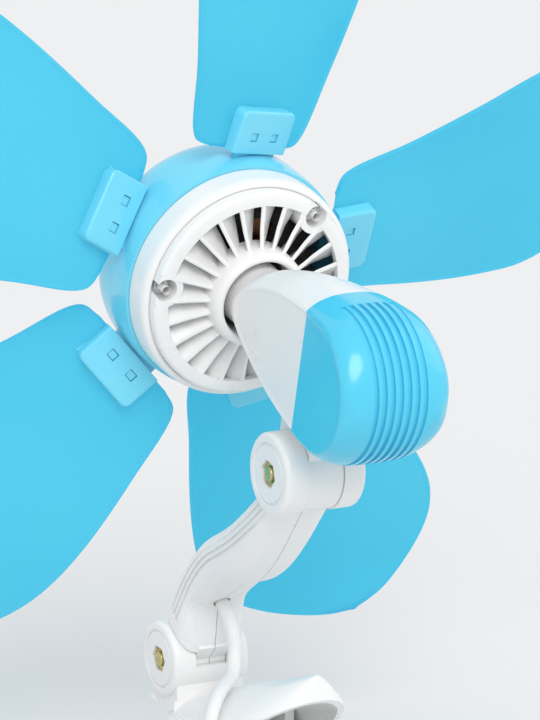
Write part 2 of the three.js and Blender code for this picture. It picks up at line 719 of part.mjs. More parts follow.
// one of the lines pressed into the arm's sides, which keeps its distance from the front edge
function armGroove(side, depthFromFront) {
  const width = 1;
  const stations = [22, 32, 42, 52, 62, 73, 90, 118];
  const edge = (shift) =>
    stations.map((drawn) => [armAt(drawn), along(ARM_FRONT, drawn) - depthFromFront + shift]);
  const outline = [...edge(-width / 2), ...edge(width / 2).reverse()];
  const [from, to] = [ARM_HALF_WIDTH - 0.9, ARM_HALF_WIDTH + 2];
  return side > 0 ? plateX(outline, from, to) : plateX(outline, -to, -from);
}

function armHalf(side) {
  const [x0, x1] = side > 0 ? [GAP / 2, 40] : [-40, -GAP / 2];
  return armBody().intersect(solidOf(block(x0, x1, -40, ARM_LENGTH + 40, -50, 50)));
}

// ---------------------------------------------------------------- clip
function clipHalfWidth(y, inset) {
  const share = Math.min(Math.abs(y - CLIP.y) / (CLIP.halfLength - inset), 0.998);
  return (CLIP.halfWidth - inset) * (1 - share ** 2.3) ** (1 / 2.3);
}

function clipStations(inset) {
  const reach = CLIP.halfLength - inset;
  const shares = [0.15, 0.45, 0.68, 0.84, 0.93, 0.98, 0.998];
  const both = [...shares.map((share) => -share).reverse(), ...shares];
  return both.map((share) => CLIP.y + share * reach);
}

function crownHeight(y) {
  return CROWN.z + CROWN.slope * (y - CROWN.y);
}

// domed shell over an oval plan
function crownSolid(inset, coarse = false) {
  const fine = [[1, 16], [0.97, 12.6], [0.85, 9.2], [0.62, 5], [0.32, 1.4], [0, 0]];
  const drops = coarse ? [[1, 16], [0.9, 10.6], [0.5, 3.4], [0, 0]] : fine;
  const stations = clipStations(inset).filter((y, i) => !coarse || i % 3 === 0 || i === 12);
  const rings = stations.map((y) => {
    const half = clipHalfWidth(y, inset);
    const top = crownHeight(y) - inset;
    const left = drops.map(([u, drop]) => [-u * half, top - drop]);
    const right = drops.slice(0, -1).reverse().map(([u, drop]) => [u * half, top - drop]);
    const outline = [[-half, -12], ...left, ...right, [half, -12]];
    return outline.map(([x, z]) => new THREE.Vector3(x, y, z));
  });
  return solidOf(loft(rings));
}

function rimHeight(y) {
  return RIM.z + RIM.slope * (y - RIM.y);
}

function clipUpper() {
  const rimStart = RIM.y + (UPPER_JAW_Z - RIM.z) / RIM.slope;
  const keep = [
    [-60, UPPER_JAW_Z], [rimStart, UPPER_JAW_Z], [120, rimHeight(120)], [120, 130], [-60, 130],
  ];
  const hollow = [
    [-60, UPPER_JAW_Z + 3], [JAW_BACK, UPPER_JAW_Z + 3], [JAW_BACK, 0], [120, 0], [120, 130], [-60, 130],
  ];
  const shell = crownSolid(0).intersect(solidOf(plateX(keep, -40, 40)));
  const cavity = crownSolid(CLIP.wall, true).intersect(solidOf(plateX(hollow, -40, 40)));
  let upper = shell.add(clipBracket()).subtract(cavity);
  for (const side of [-1, 1]) {
    upper = upper.add(pinLug(side, LUG.upperFrom, LUG.upperTo, 50));
    upper = upper.subtract(earFace(side, LOW_EAR_RADIUS, LOW_KNUCKLE.y, LOW_KNUCKLE.z));
  }
  return upper.subtract(solidOf(rodX(PIN.radius + 0.3, -30, 30, PIN.y, PIN.z, 16)).intersect(
    solidOf(block(-LUG.upperTo - 0.5, LUG.upperTo + 0.5, 0, 60, 0, 40)),
  ));
}

// two ears and the saddle between them, on the front of the crown
function clipBracket() {
  const { y, z } = LOW_KNUCKLE;
  const foot = CROWN.z - 3;
  let bracket = solidOf(rodX(LOW_EAR_RADIUS, -KNUCKLE_HALF_WIDTH, KNUCKLE_HALF_WIDTH, y, z, 24));
  bracket = bracket.add(
    solidOf(block(-KNUCKLE_HALF_WIDTH + 0.6, KNUCKLE_HALF_WIDTH - 0.6, y - 9, y + 13, foot, z - 4)),
  );
  bracket = bracket.subtract(solidOf(block(-EAR_INSIDE, EAR_INSIDE, y - 30, y + 30, z - 1, z + 30)));
  bracket = bracket.subtract(
    solidOf(rodX(LOW_TONGUE_RADIUS + 0.5, -EAR_INSIDE, EAR_INSIDE, y, z, 24)),
  );
  return bracket;
}

// a lug that hangs from the crown round the pin
function pinLug(side, from, to, top) {
  const [x0, x1] = side > 0 ? [from, to] : [-to, -from];
  const round = PIN.radius + LUG.wall;
  const lug = joined(
    rodX(round, x0, x1, PIN.y, PIN.z, 18),
    block(x0, x1, PIN.y - round, PIN.y + round, PIN.z, top),
  );
  return lug.intersect(crownSolid(0.5));
}

function clipPlan(inset, sides = 32) {
  const outline = [];
  for (let k = 0; k < sides; k += 1) {
    const angle = (2 * Math.PI * k) / sides;
    const [x, y] = superPoint(angle, CLIP.halfWidth - inset, CLIP.halfLength - inset, 2.3);
    outline.push([x, y + CLIP.y]);
  }
  return outline;
}

function clipLower() {
  const rings = [[0, 2.2], [2, 0.3], [LOWER_JAW_Z, 0]].map(([z, inset]) =>
    clipPlan(inset).map(([x, y]) => new THREE.Vector3(x, y, z)),
  );
  const tray = plateZ(clipPlan(CLIP.wall), CLIP.wall, LOWER_JAW_Z + 5);
  const roof = block(-40, 40, -60, JAW_BACK, LOWER_JAW_Z - 2.6, LOWER_JAW_Z + 6);
  let lower = solidOf(loft(rings)).subtract(solidOf(tray).subtract(solidOf(roof)));
  const round = PIN.radius + LUG.wall;
  for (const side of [-1, 1]) {
    const [x0, x1] = side > 0 ? [LUG.lowerFrom, LUG.lowerTo] : [-LUG.lowerTo, -LUG.lowerFrom];
    lower = lower.add(
      joined(
        rodX(round, x0, x1, PIN.y, PIN.z, 18),
        block(x0, x1, PIN.y - round, PIN.y + round, CLIP.wall / 2, PIN.z),
      ),
    );
  }
  return lower.subtract(solidOf(rodX(PIN.radius + 0.3, -20, 20, PIN.y, PIN.z, 16)));
}

function jawPad(z0, z1) {
  const { from, to, halfWidth } = PAD;
  const corner = 7;
  const shape = new THREE.Shape();
  shape.moveTo(-halfWidth, to);
  shape.lineTo(-halfWidth, from + corner + 6);
  shape.quadraticCurveTo(-halfWidth + 1, from, -corner, from);
  shape.lineTo(corner, from);
  shape.quadraticCurveTo(halfWidth - 1, from, halfWidth, from + corner + 6);
  shape.lineTo(halfWidth, to);
  shape.closePath();
  const options = { depth: z1 - z0, bevelEnabled: false, curveSegments: 6 };
  return new THREE.ExtrudeGeometry(shape, options).translate(0, 0, z0);
}

function clipPin() {
  const { y, z, radius, halfLength } = PIN;
  return joined(
    rodX(radius, -halfLength, halfLength, y, z, 12),
    rodX(radius + 1.3, LUG.upperTo + GAP, halfLength + 0.6, y, z, 12),
    rodX(radius + 1.3, -halfLength - 0.6, -LUG.upperTo - GAP, y, z, 12),
  );
}

// tube of the cord's section through a list of points
function cordTube(route) {
  const curve = new THREE.CatmullRomCurve3(route.map((point) => new THREE.Vector3(...point)));
  const section = [];
  for (let k = 0; k < CORD_SIDES; k += 1) {
    const angle = (2 * Math.PI * (k + 0.5)) / CORD_SIDES;
    section.push(new THREE.Vector2(CORD_RADIUS * Math.cos(angle), CORD_RADIUS * Math.sin(angle)));
  }
  const steps = Math.ceil(curve.getLength() / CORD_STEP);
  return new THREE.ExtrudeGeometry(new THREE.Shape(section), { steps, extrudePath: curve });
}

// rings of a round section along points, square to the path
function woundTube(points, radius, sides, upAt) {
  const rings = points.map((point, i) => {
    const before = points[Math.max(i - 1, 0)];
    const after = points[Math.min(i + 1, points.length - 1)];
    const ahead = after.clone().sub(before).normalize();
    const up = upAt(point);
    const across = ahead.clone().cross(up).normalize();
    const lift = across.clone().cross(ahead);
    const ring = [];
    for (let k = 0; k < sides; k += 1) {
      const angle = (2 * Math.PI * (k + 0.5)) / sides;
      ring.push(
        point
          .clone()
          .addScaledVector(across, radius * Math.cos(angle))
          .addScaledVector(lift, radius * Math.sin(angle)),
      );
    }
    return ring;
  });
  return loft(rings);
}

// torsion spring round the pin: one leg up to the crown, one leg down to the floor of the lower half
function springPoints() {
  const { radius, pitch, turns, steps, upperLeg, lowerLeg } = SPRING;
  const heading = (degrees) => new THREE.Vector3(0, Math.cos(degrees * RAD), Math.sin(degrees * RAD));
  const start = upperLeg.angle + 90;
  const total = 360 * turns + lowerLeg.angle + 270 - start;
  const half = (pitch * total) / 720;
  const count = Math.round((steps * total) / 360);
  const points = [];
  for (let i = 0; i <= count; i += 1) {
    const share = i / count;
    const point = heading(start + total * share).multiplyScalar(radius);
    points.push(point.add(new THREE.Vector3(-half + 2 * half * share, PIN.y, PIN.z)));
  }
  const leg = (from, { angle, length }, share) =>
    from.clone().addScaledVector(heading(angle), length * share);
  const upper = [1, 0.5, 0.15].map((share) => leg(points[0], upperLeg, share));
  const lower = [0.15, 0.5, 1].map((share) => leg(points[count], lowerLeg, share));
  return [...upper, ...points, ...lower];
}

function clipSpring() {
  const sideways = new THREE.Vector3(1, 0, 0);
  return woundTube(springPoints(), SPRING.wire / 2, SPRING.sides, () => sideways);
}

// ---------------------------------------------------------------- cord
// out of the arm, over the crown's flank and down to the switch
const LEAD_ROUTE = [
  [0, 4.7, 86.4], [0, 8.3, 82.9], [0, 12.6, 78.6], [0, 16.2, 73.5], [0.5, 18.4, 67.5],
  [2.2, 21, 62.3], [5.5, 25.5, 59.4], [11, 31.8, 59], [17, 38.8, 58.9], [22.5, 45.3, 57.8],
  [27.8, 51.5, 54], [32.5, 57, 47.5], [38.5, 62.2, 37.5], [45.5, 67.2, 26.6],
  [53, 72, 15.8], [59.8, 75.8, 8.6], [65.5, 78.5, 4.8], [70.5, 80.4, 3.5], [75, 81.8, 3.6],
  [79.3, 82.5, 4.2], [83.7, 82.5, 4.2],
];
// from the switch to the coil
const LINK_ROUTE = [
  [134.3, 82.5, 4.2], [139.5, 82.5, 4.2], [146, 81.5, 3.9], [152.5, 78.3, 3.5],
  [157.6, 72.8, 3.2], [160.6, 66, 3.2], [161.5, 58, 3.4], [161.5, 48, 3.8], [161.5, 38, 4.2],
  [161.5, 26.3, 4.2],
];
// from the coil to the plug
const TAIL_ROUTE = [
  [116.7, -18.5, 10.4], [112, -18.5, 10.2], [106, -18.5, 8.9], [100, -18.5, 7.5],
  [96, -18.5, 7], [92.3, -18.5, 7],
];

function coilPoint(turn) {
  const { x, y, z, outer, pitch, turns, climb, layer, draw } = COIL;
  const inner = outer - pitch * turns;
  const share = THREE.MathUtils.clamp((turn - turns) / climb, 0, 1);
  const inward = outer - pitch * Math.min(turn, turns);
  const outward = pitch * Math.max(turn - turns - climb, 0);
  const radius = (share < 1 ? inward : inner + outward) - draw * Math.sin(Math.PI * share);
  const height = z + layer * share * share * (3 - 2 * share);
  const angle = -2 * Math.PI * turn;
  return new THREE.Vector3(x + radius * Math.cos(angle), y + radius * Math.sin(angle), height);
}

// flat coil in two layers: in, up at the middle and out again, with a straight stub at each end
function coilPoints() {
  const total = 2 * COIL.turns + COIL.climb;
  const count = Math.round(total * COIL.steps);
  const points = [];
  for (let i = 0; i <= count; i += 1) points.push(coilPoint((total * i) / count));
  points.unshift(points[0].clone().add(new THREE.Vector3(0, COIL.stub, 0)));
  points.push(points[points.length - 1].clone().add(new THREE.Vector3(-COIL.stub, 0, 0)));
  return points;
}

function leastGap(points, diameter, apart) {
  let least = Infinity;
  for (let i = 0; i < points.length; i += 1) {
    for (let k = i + apart; k < points.length; k += 1) {
      least = Math.min(least, points[i].distanceTo(points[k]) - diameter);
    }
  }
  return least;
}

function cordCoil() {
  const points = coilPoints();
  console.log(`coil: least gap to itself ${leastGap(points, 2 * CORD_RADIUS, 8).toFixed(2)} mm`);
  const upright = new THREE.Vector3(0, 0, 1);
  return woundTube(points, CORD_RADIUS, COIL.sides, () => upright);
}

// strap round both layers on the side of the coil that faces the clip
function coilStrap() {
  const { thick, width, slack } = STRAP;
  const reach = CORD_RADIUS + slack;
  const inner = COIL.outer - COIL.pitch * COIL.turns - COIL.draw - reach;
  const outer = COIL.outer - COIL.pitch / 2 + reach;
  const [x0, x1] = [COIL.x - outer, COIL.x - inner];
  const [z0, z1] = [COIL.z - reach, COIL.z + COIL.layer + reach];
  const [y0, y1] = [COIL.y - width / 2, COIL.y + width / 2];
  return solidOf(block(x0 - thick, x1 + thick, y0, y1, z0 - thick, z1 + thick)).subtract(
    solidOf(block(x0, x1, y0 - 1, y1 + 1, z0, z1)),
  );
}

function switchShell(z0, z1, bevel) {
  const { x, y, length, halfWidth } = SWITCH;
  const nose = 5;
  const shape = new THREE.Shape();
  const points = [
    [x, -nose], [x + 7, -halfWidth], [x + length - 7, -halfWidth], [x + length, -nose],
    [x + length, nose], [x + length - 7, halfWidth], [x + 7, halfWidth], [x, nose],
  ];
  shape.setFromPoints(points.map(([px, py]) => new THREE.Vector2(px, py + y)));
  const options = { depth: z1 - z0 - bevel, bevelEnabled: false };
  const body = new THREE.ExtrudeGeometry(shape, options).translate(0, 0, z0);
  const cap = points.map(([px, py]) => {
    const towards = (px - x - length / 2) / (length / 2);
    return new THREE.Vector3(px - towards * bevel * 0.6, y + py * (1 - bevel / 12), z1);
  });
  const foot = points.map(([px, py]) => new THREE.Vector3(px, y + py, z1 - bevel));
  return joined(body, loft([foot, cap]));
}

function switchCover() {
  const { halfLength, halfWidth, axis, slack } = ROCKER;
  const x = SWITCH.x + SWITCH.length / 2;
  const pocket = block(
    x - halfLength - slack, x + halfLength + slack,
    SWITCH.y - halfWidth - slack, SWITCH.y + halfWidth + slack, 0, 20,
  );
  return switchShell(SWITCH.split + GAP / 2, SWITCH.height, 1.6)
    .subtract(solidOf(pocket))
    .subtract(solidOf(rodY(1.3, SWITCH.y - halfWidth - 2, SWITCH.y + halfWidth + 2, x, axis, 10)));
}

function switchRocker() {
  const { halfLength, halfWidth, axis, tilt } = ROCKER;
  const x = SWITCH.x + SWITCH.length / 2;
  const outline = [
    [-halfLength, -3], [halfLength, -3], [halfLength, 3.4], [0, 2.2], [-halfLength, 3.4],
  ];
  const rings = [-halfWidth, halfWidth].map((y) => outline.map(([px, pz]) => new THREE.Vector3(px, y, pz)));
  const rocker = geometryOf(joined(loft(rings), rodY(0.95, -halfWidth - 1.6, halfWidth + 1.6, 0, 0, 10)));
  return rocker.rotateY(-tilt * RAD).translate(x, SWITCH.y, axis);
}

// flat two-pin plug with a tapered sleeve where the cord goes in
function plugBody() {
  const { x, y, z, sleeve, length, halfWidth, halfHeight } = PLUG;
  const ring = (at, wide, high, power) => {
    const points = [];
    for (let k = 0; k < 16; k += 1) {
      const [py, pz] = superPoint((2 * Math.PI * k) / 16, wide, high, power);
      points.push(new THREE.Vector3(x - at, y + py, z + pz));
    }
    return points;
  };
  return solidOf(
    loft([
      ring(0, 3.6, 3.6, 2), ring(sleeve, 5.2, 5.2, 2), ring(sleeve + 1, 7, 6, 2.4),
      ring(sleeve + 8, halfWidth - 2.4, halfHeight, 3), ring(sleeve + length - 1, halfWidth, halfHeight, 3.4),
      ring(sleeve + length, halfWidth - 1, halfHeight - 1, 3.4),
    ]),
  );
}

function plugProng(side) {
  const { radius, length, apart } = PRONG;
  const face = PLUG.x - PLUG.sleeve - PLUG.length;
  const tip = 1.2;
  return joined(
    rodX(radius, face - length + tip, face - GAP, PLUG.y + (side * apart) / 2, PLUG.z, 12),
    new THREE.CylinderGeometry(radius - 0.8, radius, tip, 12)
      .rotateZ(Math.PI / 2)
      .translate(face - length + tip / 2, PLUG.y + (side * apart) / 2, PLUG.z),
  );
}

// ---------------------------------------------------------------- assembly: rotor
piece(head, 'rotor_cover', rotorCover(), WHITE);
piece(head, 'hub_cowl', hubCowl(), BLUE);
for (let i = 0; i < BLADE_COUNT; i += 1) {
  piece(head, `fan_blade_${i + 1}`, blade(FIRST_BLADE + (360 / BLADE_COUNT) * i), PALE_BLUE);
}
WELL_ANGLES.forEach((angle, i) => piece(head, `cover_screw_${i + 1}`, coverScrew(angle), STEEL));
piece(head, 'rotor_can', rotorCan(), BLACK);
piece(head, 'rotor_end_cap', endCap(), BLACK);
piece(head, 'front_bearing', bearing(CAN_FRONT + CAN_WALL), STEEL);
piece(head, 'rear_bearing', bearing(-9.5), STEEL);

// ---------------------------------------------------------------- assembly: head
piece(head, 'motor_shaft', ringY(SHAFT_BORE, SHAFT_RADIUS, CAN_FRONT + 0.5, 30, 16), STEEL);
const coreRadius = CAN_RADIUS - CAN_WALL - AIR_GAP;
const coreFront = CAN_FRONT + 13;
const windingRadius = coreRadius - 4.2;
piece(head, 'stator_core', ringY(SHAFT_RADIUS + 0.25, coreRadius, coreFront, -19), STEEL);
piece(head, 'rear_winding', ringY(BEARING_RADIUS + 1, windingRadius, -19 + GAP, -12.2), COPPER);
piece(
  head, 'front_winding',
  ringY(BEARING_RADIUS + 4, windingRadius, coreFront - 5.5, coreFront - GAP), COPPER,
);
piece(head, 'shaft_nut', shaftNut(), BRASS);
piece(head, 'motor_neck', motorNeck(), WHITE);
piece(head, 'tail_cap', tailCap(), BLUE);
piece(head, 'run_capacitor', block(-16, 16, 85, 98, -8, 14), BLACK);

// ---------------------------------------------------------------- assembly: arm
piece(arm, 'arm_left', armHalf(-1), WHITE);
piece(arm, 'arm_right', armHalf(1), WHITE);
piece(arm, 'top_knuckle_bolt', bolt(ARM_LENGTH, 0), BRASS);
piece(arm, 'top_knuckle_nut', nut(ARM_LENGTH, 0), BRASS);

// ---------------------------------------------------------------- assembly: clip
piece(model, 'clip_upper', clipUpper(), WHITE);
piece(model, 'low_knuckle_bolt', bolt(LOW_KNUCKLE.y, LOW_KNUCKLE.z), BRASS);
piece(model, 'low_knuckle_nut', nut(LOW_KNUCKLE.y, LOW_KNUCKLE.z), BRASS);
piece(model, 'clip_lower', clipLower(), WHITE);
piece(model, 'clip_pin', clipPin(), STEEL);
piece(model, 'clip_spring', clipSpring(), STEEL);
piece(model, 'upper_jaw_pad', jawPad(UPPER_JAW_Z - GAP - PAD.thick, UPPER_JAW_Z - GAP), RUBBER);
piece(model, 'lower_jaw_pad', jawPad(LOWER_JAW_Z + GAP, LOWER_JAW_Z + GAP + PAD.thick), RUBBER);

// ---------------------------------------------------------------- assembly: cord
piece(model, 'cord_lead', cordTube(LEAD_ROUTE), WHITE);
piece(model, 'switch_base', switchShell(0, SWITCH.split - GAP / 2, 0.01), WHITE);
piece(model, 'switch_cover', switchCover(), WHITE);
piece(model, 'switch_rocker', switchRocker(), BLUE);
piece(model, 'cord_link', cordTube(LINK_ROUTE), WHITE);
piece(model, 'cord_coil', cordCoil(), WHITE);
piece(model, 'coil_strap', coilStrap(), BLACK);
piece(model, 'cord_tail', cordTube(TAIL_ROUTE), WHITE);
piece(model, 'plug_body', plugBody(), WHITE);
piece(model, 'plug_prong_left', plugProng(-1), STEEL);
piece(model, 'plug_prong_right', plugProng(1), STEEL);

export default model;
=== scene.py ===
"""Looks of the clip fan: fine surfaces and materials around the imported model, in metres."""

import json
import math

import bmesh
import bpy
import numpy as np
from mathutils import Matrix, Vector

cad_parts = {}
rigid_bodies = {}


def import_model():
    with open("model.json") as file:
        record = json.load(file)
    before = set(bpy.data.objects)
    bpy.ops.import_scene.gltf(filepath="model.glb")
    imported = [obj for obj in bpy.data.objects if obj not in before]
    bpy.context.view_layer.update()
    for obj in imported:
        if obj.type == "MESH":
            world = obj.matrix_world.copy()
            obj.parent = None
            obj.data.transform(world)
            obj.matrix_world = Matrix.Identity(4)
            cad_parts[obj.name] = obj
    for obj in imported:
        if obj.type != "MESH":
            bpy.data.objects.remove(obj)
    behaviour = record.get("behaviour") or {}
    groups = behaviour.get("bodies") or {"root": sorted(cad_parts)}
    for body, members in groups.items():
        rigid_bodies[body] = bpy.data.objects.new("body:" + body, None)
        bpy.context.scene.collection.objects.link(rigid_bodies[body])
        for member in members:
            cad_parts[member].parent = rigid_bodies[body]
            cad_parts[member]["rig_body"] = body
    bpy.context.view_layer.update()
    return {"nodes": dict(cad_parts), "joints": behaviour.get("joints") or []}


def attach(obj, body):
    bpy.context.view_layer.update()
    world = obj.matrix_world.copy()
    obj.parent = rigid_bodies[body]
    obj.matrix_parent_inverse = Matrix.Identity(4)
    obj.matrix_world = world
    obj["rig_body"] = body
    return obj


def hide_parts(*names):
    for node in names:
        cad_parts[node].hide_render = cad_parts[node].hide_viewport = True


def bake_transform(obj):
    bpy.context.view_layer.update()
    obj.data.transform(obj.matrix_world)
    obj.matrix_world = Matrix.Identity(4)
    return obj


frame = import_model()
NODES = frame["nodes"]
JOINTS = {joint["name"]: joint for joint in frame["joints"]}
MM = 0.001

# places of the turned groups, read from the joints
ROTOR_AXIS = Vector(JOINTS["rotor_spin"]["axis"])
HUB = Vector(JOINTS["rotor_spin"]["pos_m"])
LOW_KNUCKLE = Vector(JOINTS["arm_hinge"]["pos_m"])
TOP_KNUCKLE = Vector(JOINTS["head_hinge"]["pos_m"])
ARM_SPAN = TOP_KNUCKLE - LOW_KNUCKLE
HEAD_TURN = math.atan2(ROTOR_AXIS.z, ROTOR_AXIS.y)
ARM_TURN = math.atan2(ARM_SPAN.z, ARM_SPAN.y)
HEAD_PLACE = Matrix.Translation(HUB) @ Matrix.Rotation(HEAD_TURN, 4, "X")
ARM_PLACE = Matrix.Translation(LOW_KNUCKLE) @ Matrix.Rotation(ARM_TURN, 4, "X")
CLIP_PLACE = Matrix.Identity(4)


# ---------------------------------------------------------------- camera and light
EYE = HUB + Vector((0.562, 1.070, 0.215))
EYE_RIGHT = Vector((-0.882, 0.471, 0.0)).normalized()
EYE_DOWN = Vector((0.092, 0.174, -0.980)).normalized()
LENS = 158.06
PALE = (0.855, 0.855, 0.855, 1)
ROOM = (0.97, 0.985, 1, 1)
ROOM_STRENGTH = 0.76
FLOOR_GREY = (0.81, 0.81, 0.81, 1)
FLOOR_HALF = 14


def add_camera():
    data = bpy.data.cameras.new("view")
    data.lens = LENS
    data.sensor_width = 36
    data.clip_end = 60
    camera = bpy.data.objects.new("view", data)
    bpy.context.scene.collection.objects.link(camera)
    back = EYE_RIGHT.cross(-EYE_DOWN).normalized()
    up = back.cross(EYE_RIGHT).normalized()
    turn = Matrix((EYE_RIGHT, up, back)).transposed().to_4x4()
    camera.matrix_world = Matrix.Translation(EYE) @ turn
    bpy.context.scene.camera = camera


def add_sun(name, strength, angle, direction):
    data = bpy.data.lights.new(name, "SUN")
    data.energy = strength
    data.angle = math.radians(angle)
    lamp = bpy.data.objects.new(name, data)
    lamp.rotation_euler = Vector(direction).to_track_quat("-Z", "Y").to_euler()
    bpy.context.scene.collection.objects.link(lamp)


def seen_directly(nodes, links):
    """Socket that is 1 for camera, glossy and transmission rays."""
    path = nodes.new("ShaderNodeLightPath")
    first = nodes.new("ShaderNodeMath")
    first.operation = "MAXIMUM"
    links.new(path.outputs["Is Camera Ray"], first.inputs[0])
    links.new(path.outputs["Is Glossy Ray"], first.inputs[1])
    second = nodes.new("ShaderNodeMath")
    second.operation = "MAXIMUM"
    links.new(first.outputs[0], second.inputs[0])
    links.new(path.outputs["Is Transmission Ray"], second.inputs[1])
    return second.outputs[0]


def add_world():
    world = bpy.data.worlds.new("studio")
    world.use_nodes = True
    bpy.context.scene.world = world
    nodes, links = world.node_tree.nodes, world.node_tree.links
    nodes.clear()
    room = nodes.new("ShaderNodeBackground")
    room.inputs["Color"].default_value = ROOM
    room.inputs["Strength"].default_value = ROOM_STRENGTH
    pale = nodes.new("ShaderNodeBackground")
    pale.inputs["Color"].default_value = PALE
    pale.inputs["Strength"].default_value = 1
    mix = nodes.new("ShaderNodeMixShader")
    out = nodes.new("ShaderNodeOutputWorld")
    links.new(seen_directly(nodes, links), mix.inputs[0])
    links.new(room.outputs[0], mix.inputs[1])
    links.new(pale.outputs[0], mix.inputs[2])
    links.new(mix.outputs[0], out.inputs["Surface"])


def add_floor():
    mesh = bpy.data.meshes.new("floor")
    half = FLOOR_HALF
    corners = [(-half, -half, 0), (half, -half, 0), (half, half, 0), (-half, half, 0)]
    mesh.from_pydata(corners, [], [(0, 1, 2, 3)])
    floor = bpy.data.objects.new("floor", mesh)
    bpy.context.scene.collection.objects.link(floor)
    look = bpy.data.materials.new("floor")
    look.use_nodes = True
    nodes, links = look.node_tree.nodes, look.node_tree.links
    nodes.clear()
    matt = nodes.new("ShaderNodeBsdfDiffuse")
    matt.inputs["Color"].default_value = FLOOR_GREY
    out = nodes.new("ShaderNodeOutputMaterial")
    links.new(matt.outputs[0], out.inputs["Surface"])
    mesh.materials.append(look)


bpy.context.scene.view_settings.view_transform = "Standard"
add_camera()
add_world()
add_floor()
add_sun("key", 1.3, 35, (-0.3, -0.9, -0.8))
add_sun("side", 0.35, 50, (0.9, -0.2, -0.6))


# ---------------------------------------------------------------- mesh helpers
def new_piece(name, vertices, faces, place=CLIP_PLACE):
    """Mesh object from points in millimetres, put in its place."""
    mesh = bpy.data.meshes.new(name)
    points = [place @ (Vector(point) * MM) for point in vertices]
    mesh.from_pydata(points, [], faces)
    obj = bpy.data.objects.new(name, mesh)
    bpy.context.scene.collection.objects.link(obj)
    face_out(obj)
    return obj


def face_out(obj):
    work = bmesh.new()
    work.from_mesh(obj.data)
    bmesh.ops.recalc_face_normals(work, faces=work.faces)
    work.to_mesh(obj.data)
    work.free()


def loft(rings):
    """Points and faces of a closed skin over rings of equal length, with flat ends."""
    sides = len(rings[0])
    points = [point for ring in rings for point in ring]
    faces = []
    for i in range(len(rings) - 1):
        for k in range(sides):
            a = i * sides + k
            b = i * sides + (k + 1) % sides
            faces.append((a, b, b + sides, a + sides))
    last = len(points) - sides
    faces.append(tuple(reversed(range(sides))))
    faces.append(tuple(range(last, last + sides)))
    return points, faces


def turned(outline, sides):
    """Points and faces of a closed outline of (radius, y) turned about Y."""
    points = []
    for i in range(sides):
        angle = 2 * math.pi * i / sides
        points += [(r * math.cos(angle), y, r * math.sin(angle)) for r, y in outline]
    count = len(outline)
    faces = []
    for i in range(sides):
        for k in range(count):
            a, b = i * count + k, i * count + (k + 1) % count
            c, d = (i + 1) % sides * count + (k + 1) % count, (i + 1) % sides * count + k
            faces.append((a, b, c, d))
    return points, faces


def block(x0, x1, y0, y1, z0, z1):
    ring = [(x0, y0), (x1, y0), (x1, y1), (x0, y1)]
    return loft([[(x, y, z) for x, y in ring] for z in (z0, z1)])


def rod(axis, radius, start, end, a, b, sides=64):
    """Round bar along X or Y; a and b are its centre on the other two axes in X, Y, Z order."""
    rings = []
    for at in (start, end):
        ring = []
        for k in range(sides):
            angle = 2 * math.pi * k / sides
            u, v = a + radius * math.cos(angle), b + radius * math.sin(angle)
            ring.append((at, u, v) if axis == "X" else (u, at, v))
        rings.append(ring)
    return loft(rings)


def moved(shape, place):
    """A shape's points turned and moved by a matrix in millimetres."""
    points, faces = shape
    return [tuple(place @ Vector(point)) for point in points], faces


def gathered(shapes):
    """Several shapes as one list of points and faces."""
    points, faces = [], []
    for shape_points, shape_faces in shapes:
        start = len(points)
        points += list(shape_points)
        faces += [tuple(start + index for index in face) for face in shape_faces]
    return points, faces


def cut(obj, tool, operation="DIFFERENCE"):
    """Joins or cuts obj by tool, which is then gone."""
    change = obj.modifiers.new("cut", "BOOLEAN")
    change.operation = operation
    change.solver = "EXACT"
    change.use_self = True
    change.object = tool
    graph = bpy.context.evaluated_depsgraph_get()
    made = bpy.data.meshes.new_from_object(obj.evaluated_get(graph))
    obj.modifiers.clear()
    obj.data = made
    bpy.data.objects.remove(tool)
    return obj


def shade(obj, angle=32):
    """Smooth faces with the edges sharper than the angle kept."""
    work = bmesh.new()
    work.from_mesh(obj.data)
    bmesh.ops.remove_doubles(work, verts=work.verts, dist=1e-6)
    limit = math.radians(angle)
    for face in work.faces:
        face.smooth = True
    for edge in work.edges:
        edge.smooth = len(edge.link_faces) == 2 and edge.calc_face_angle(0) < limit
    work.to_mesh(obj.data)
    work.free()
    return obj


def softened(obj, width):
    """Rounds the edges sharper than 40 degrees by a width in millimetres."""
    change = obj.modifiers.new("rounded", "BEVEL")
    change.width = width * MM
    change.segments = 2
    change.limit_method = "ANGLE"
    change.angle_limit = math.radians(40)
    change.harden_normals = False
    graph = bpy.context.evaluated_depsgraph_get()
    made = bpy.data.meshes.new_from_object(obj.evaluated_get(graph))
    obj.modifiers.clear()
    obj.data = made
    return obj


def finish_piece(obj, body, look, slot, *nodes):
    """Gives a piece its material and its body, and hides the model's nodes that it stands for."""
    obj.data.materials.clear()
    obj.data.materials.append(look)
    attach(obj, body)
    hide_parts(*nodes)


def smooth_copy(node, look, slot, bevel=0):
    """The node's own shape with smooth shading and, where asked, rounded edges."""
    obj = bpy.data.objects.new(node + "_fine", NODES[node].data.copy())
    bpy.context.scene.collection.objects.link(obj)
    work = bmesh.new()
    work.from_mesh(obj.data)
    bmesh.ops.remove_doubles(work, verts=work.verts, dist=2e-6)
    bmesh.ops.dissolve_limit(
        work, angle_limit=math.radians(0.6), verts=work.verts, edges=work.edges
    )
    work.to_mesh(obj.data)
    work.free()
    if bevel:
        softened(obj, bevel)
    shade(obj)
    finish_piece(obj, NODES[node]["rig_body"], look, slot, node)


# ---------------------------------------------------------------- shape helpers
def along(pairs, at):
    """Straight lines between [at, value] pairs."""
    return float(np.interp(at, [a for a, _ in pairs], [b for _, b in pairs]))


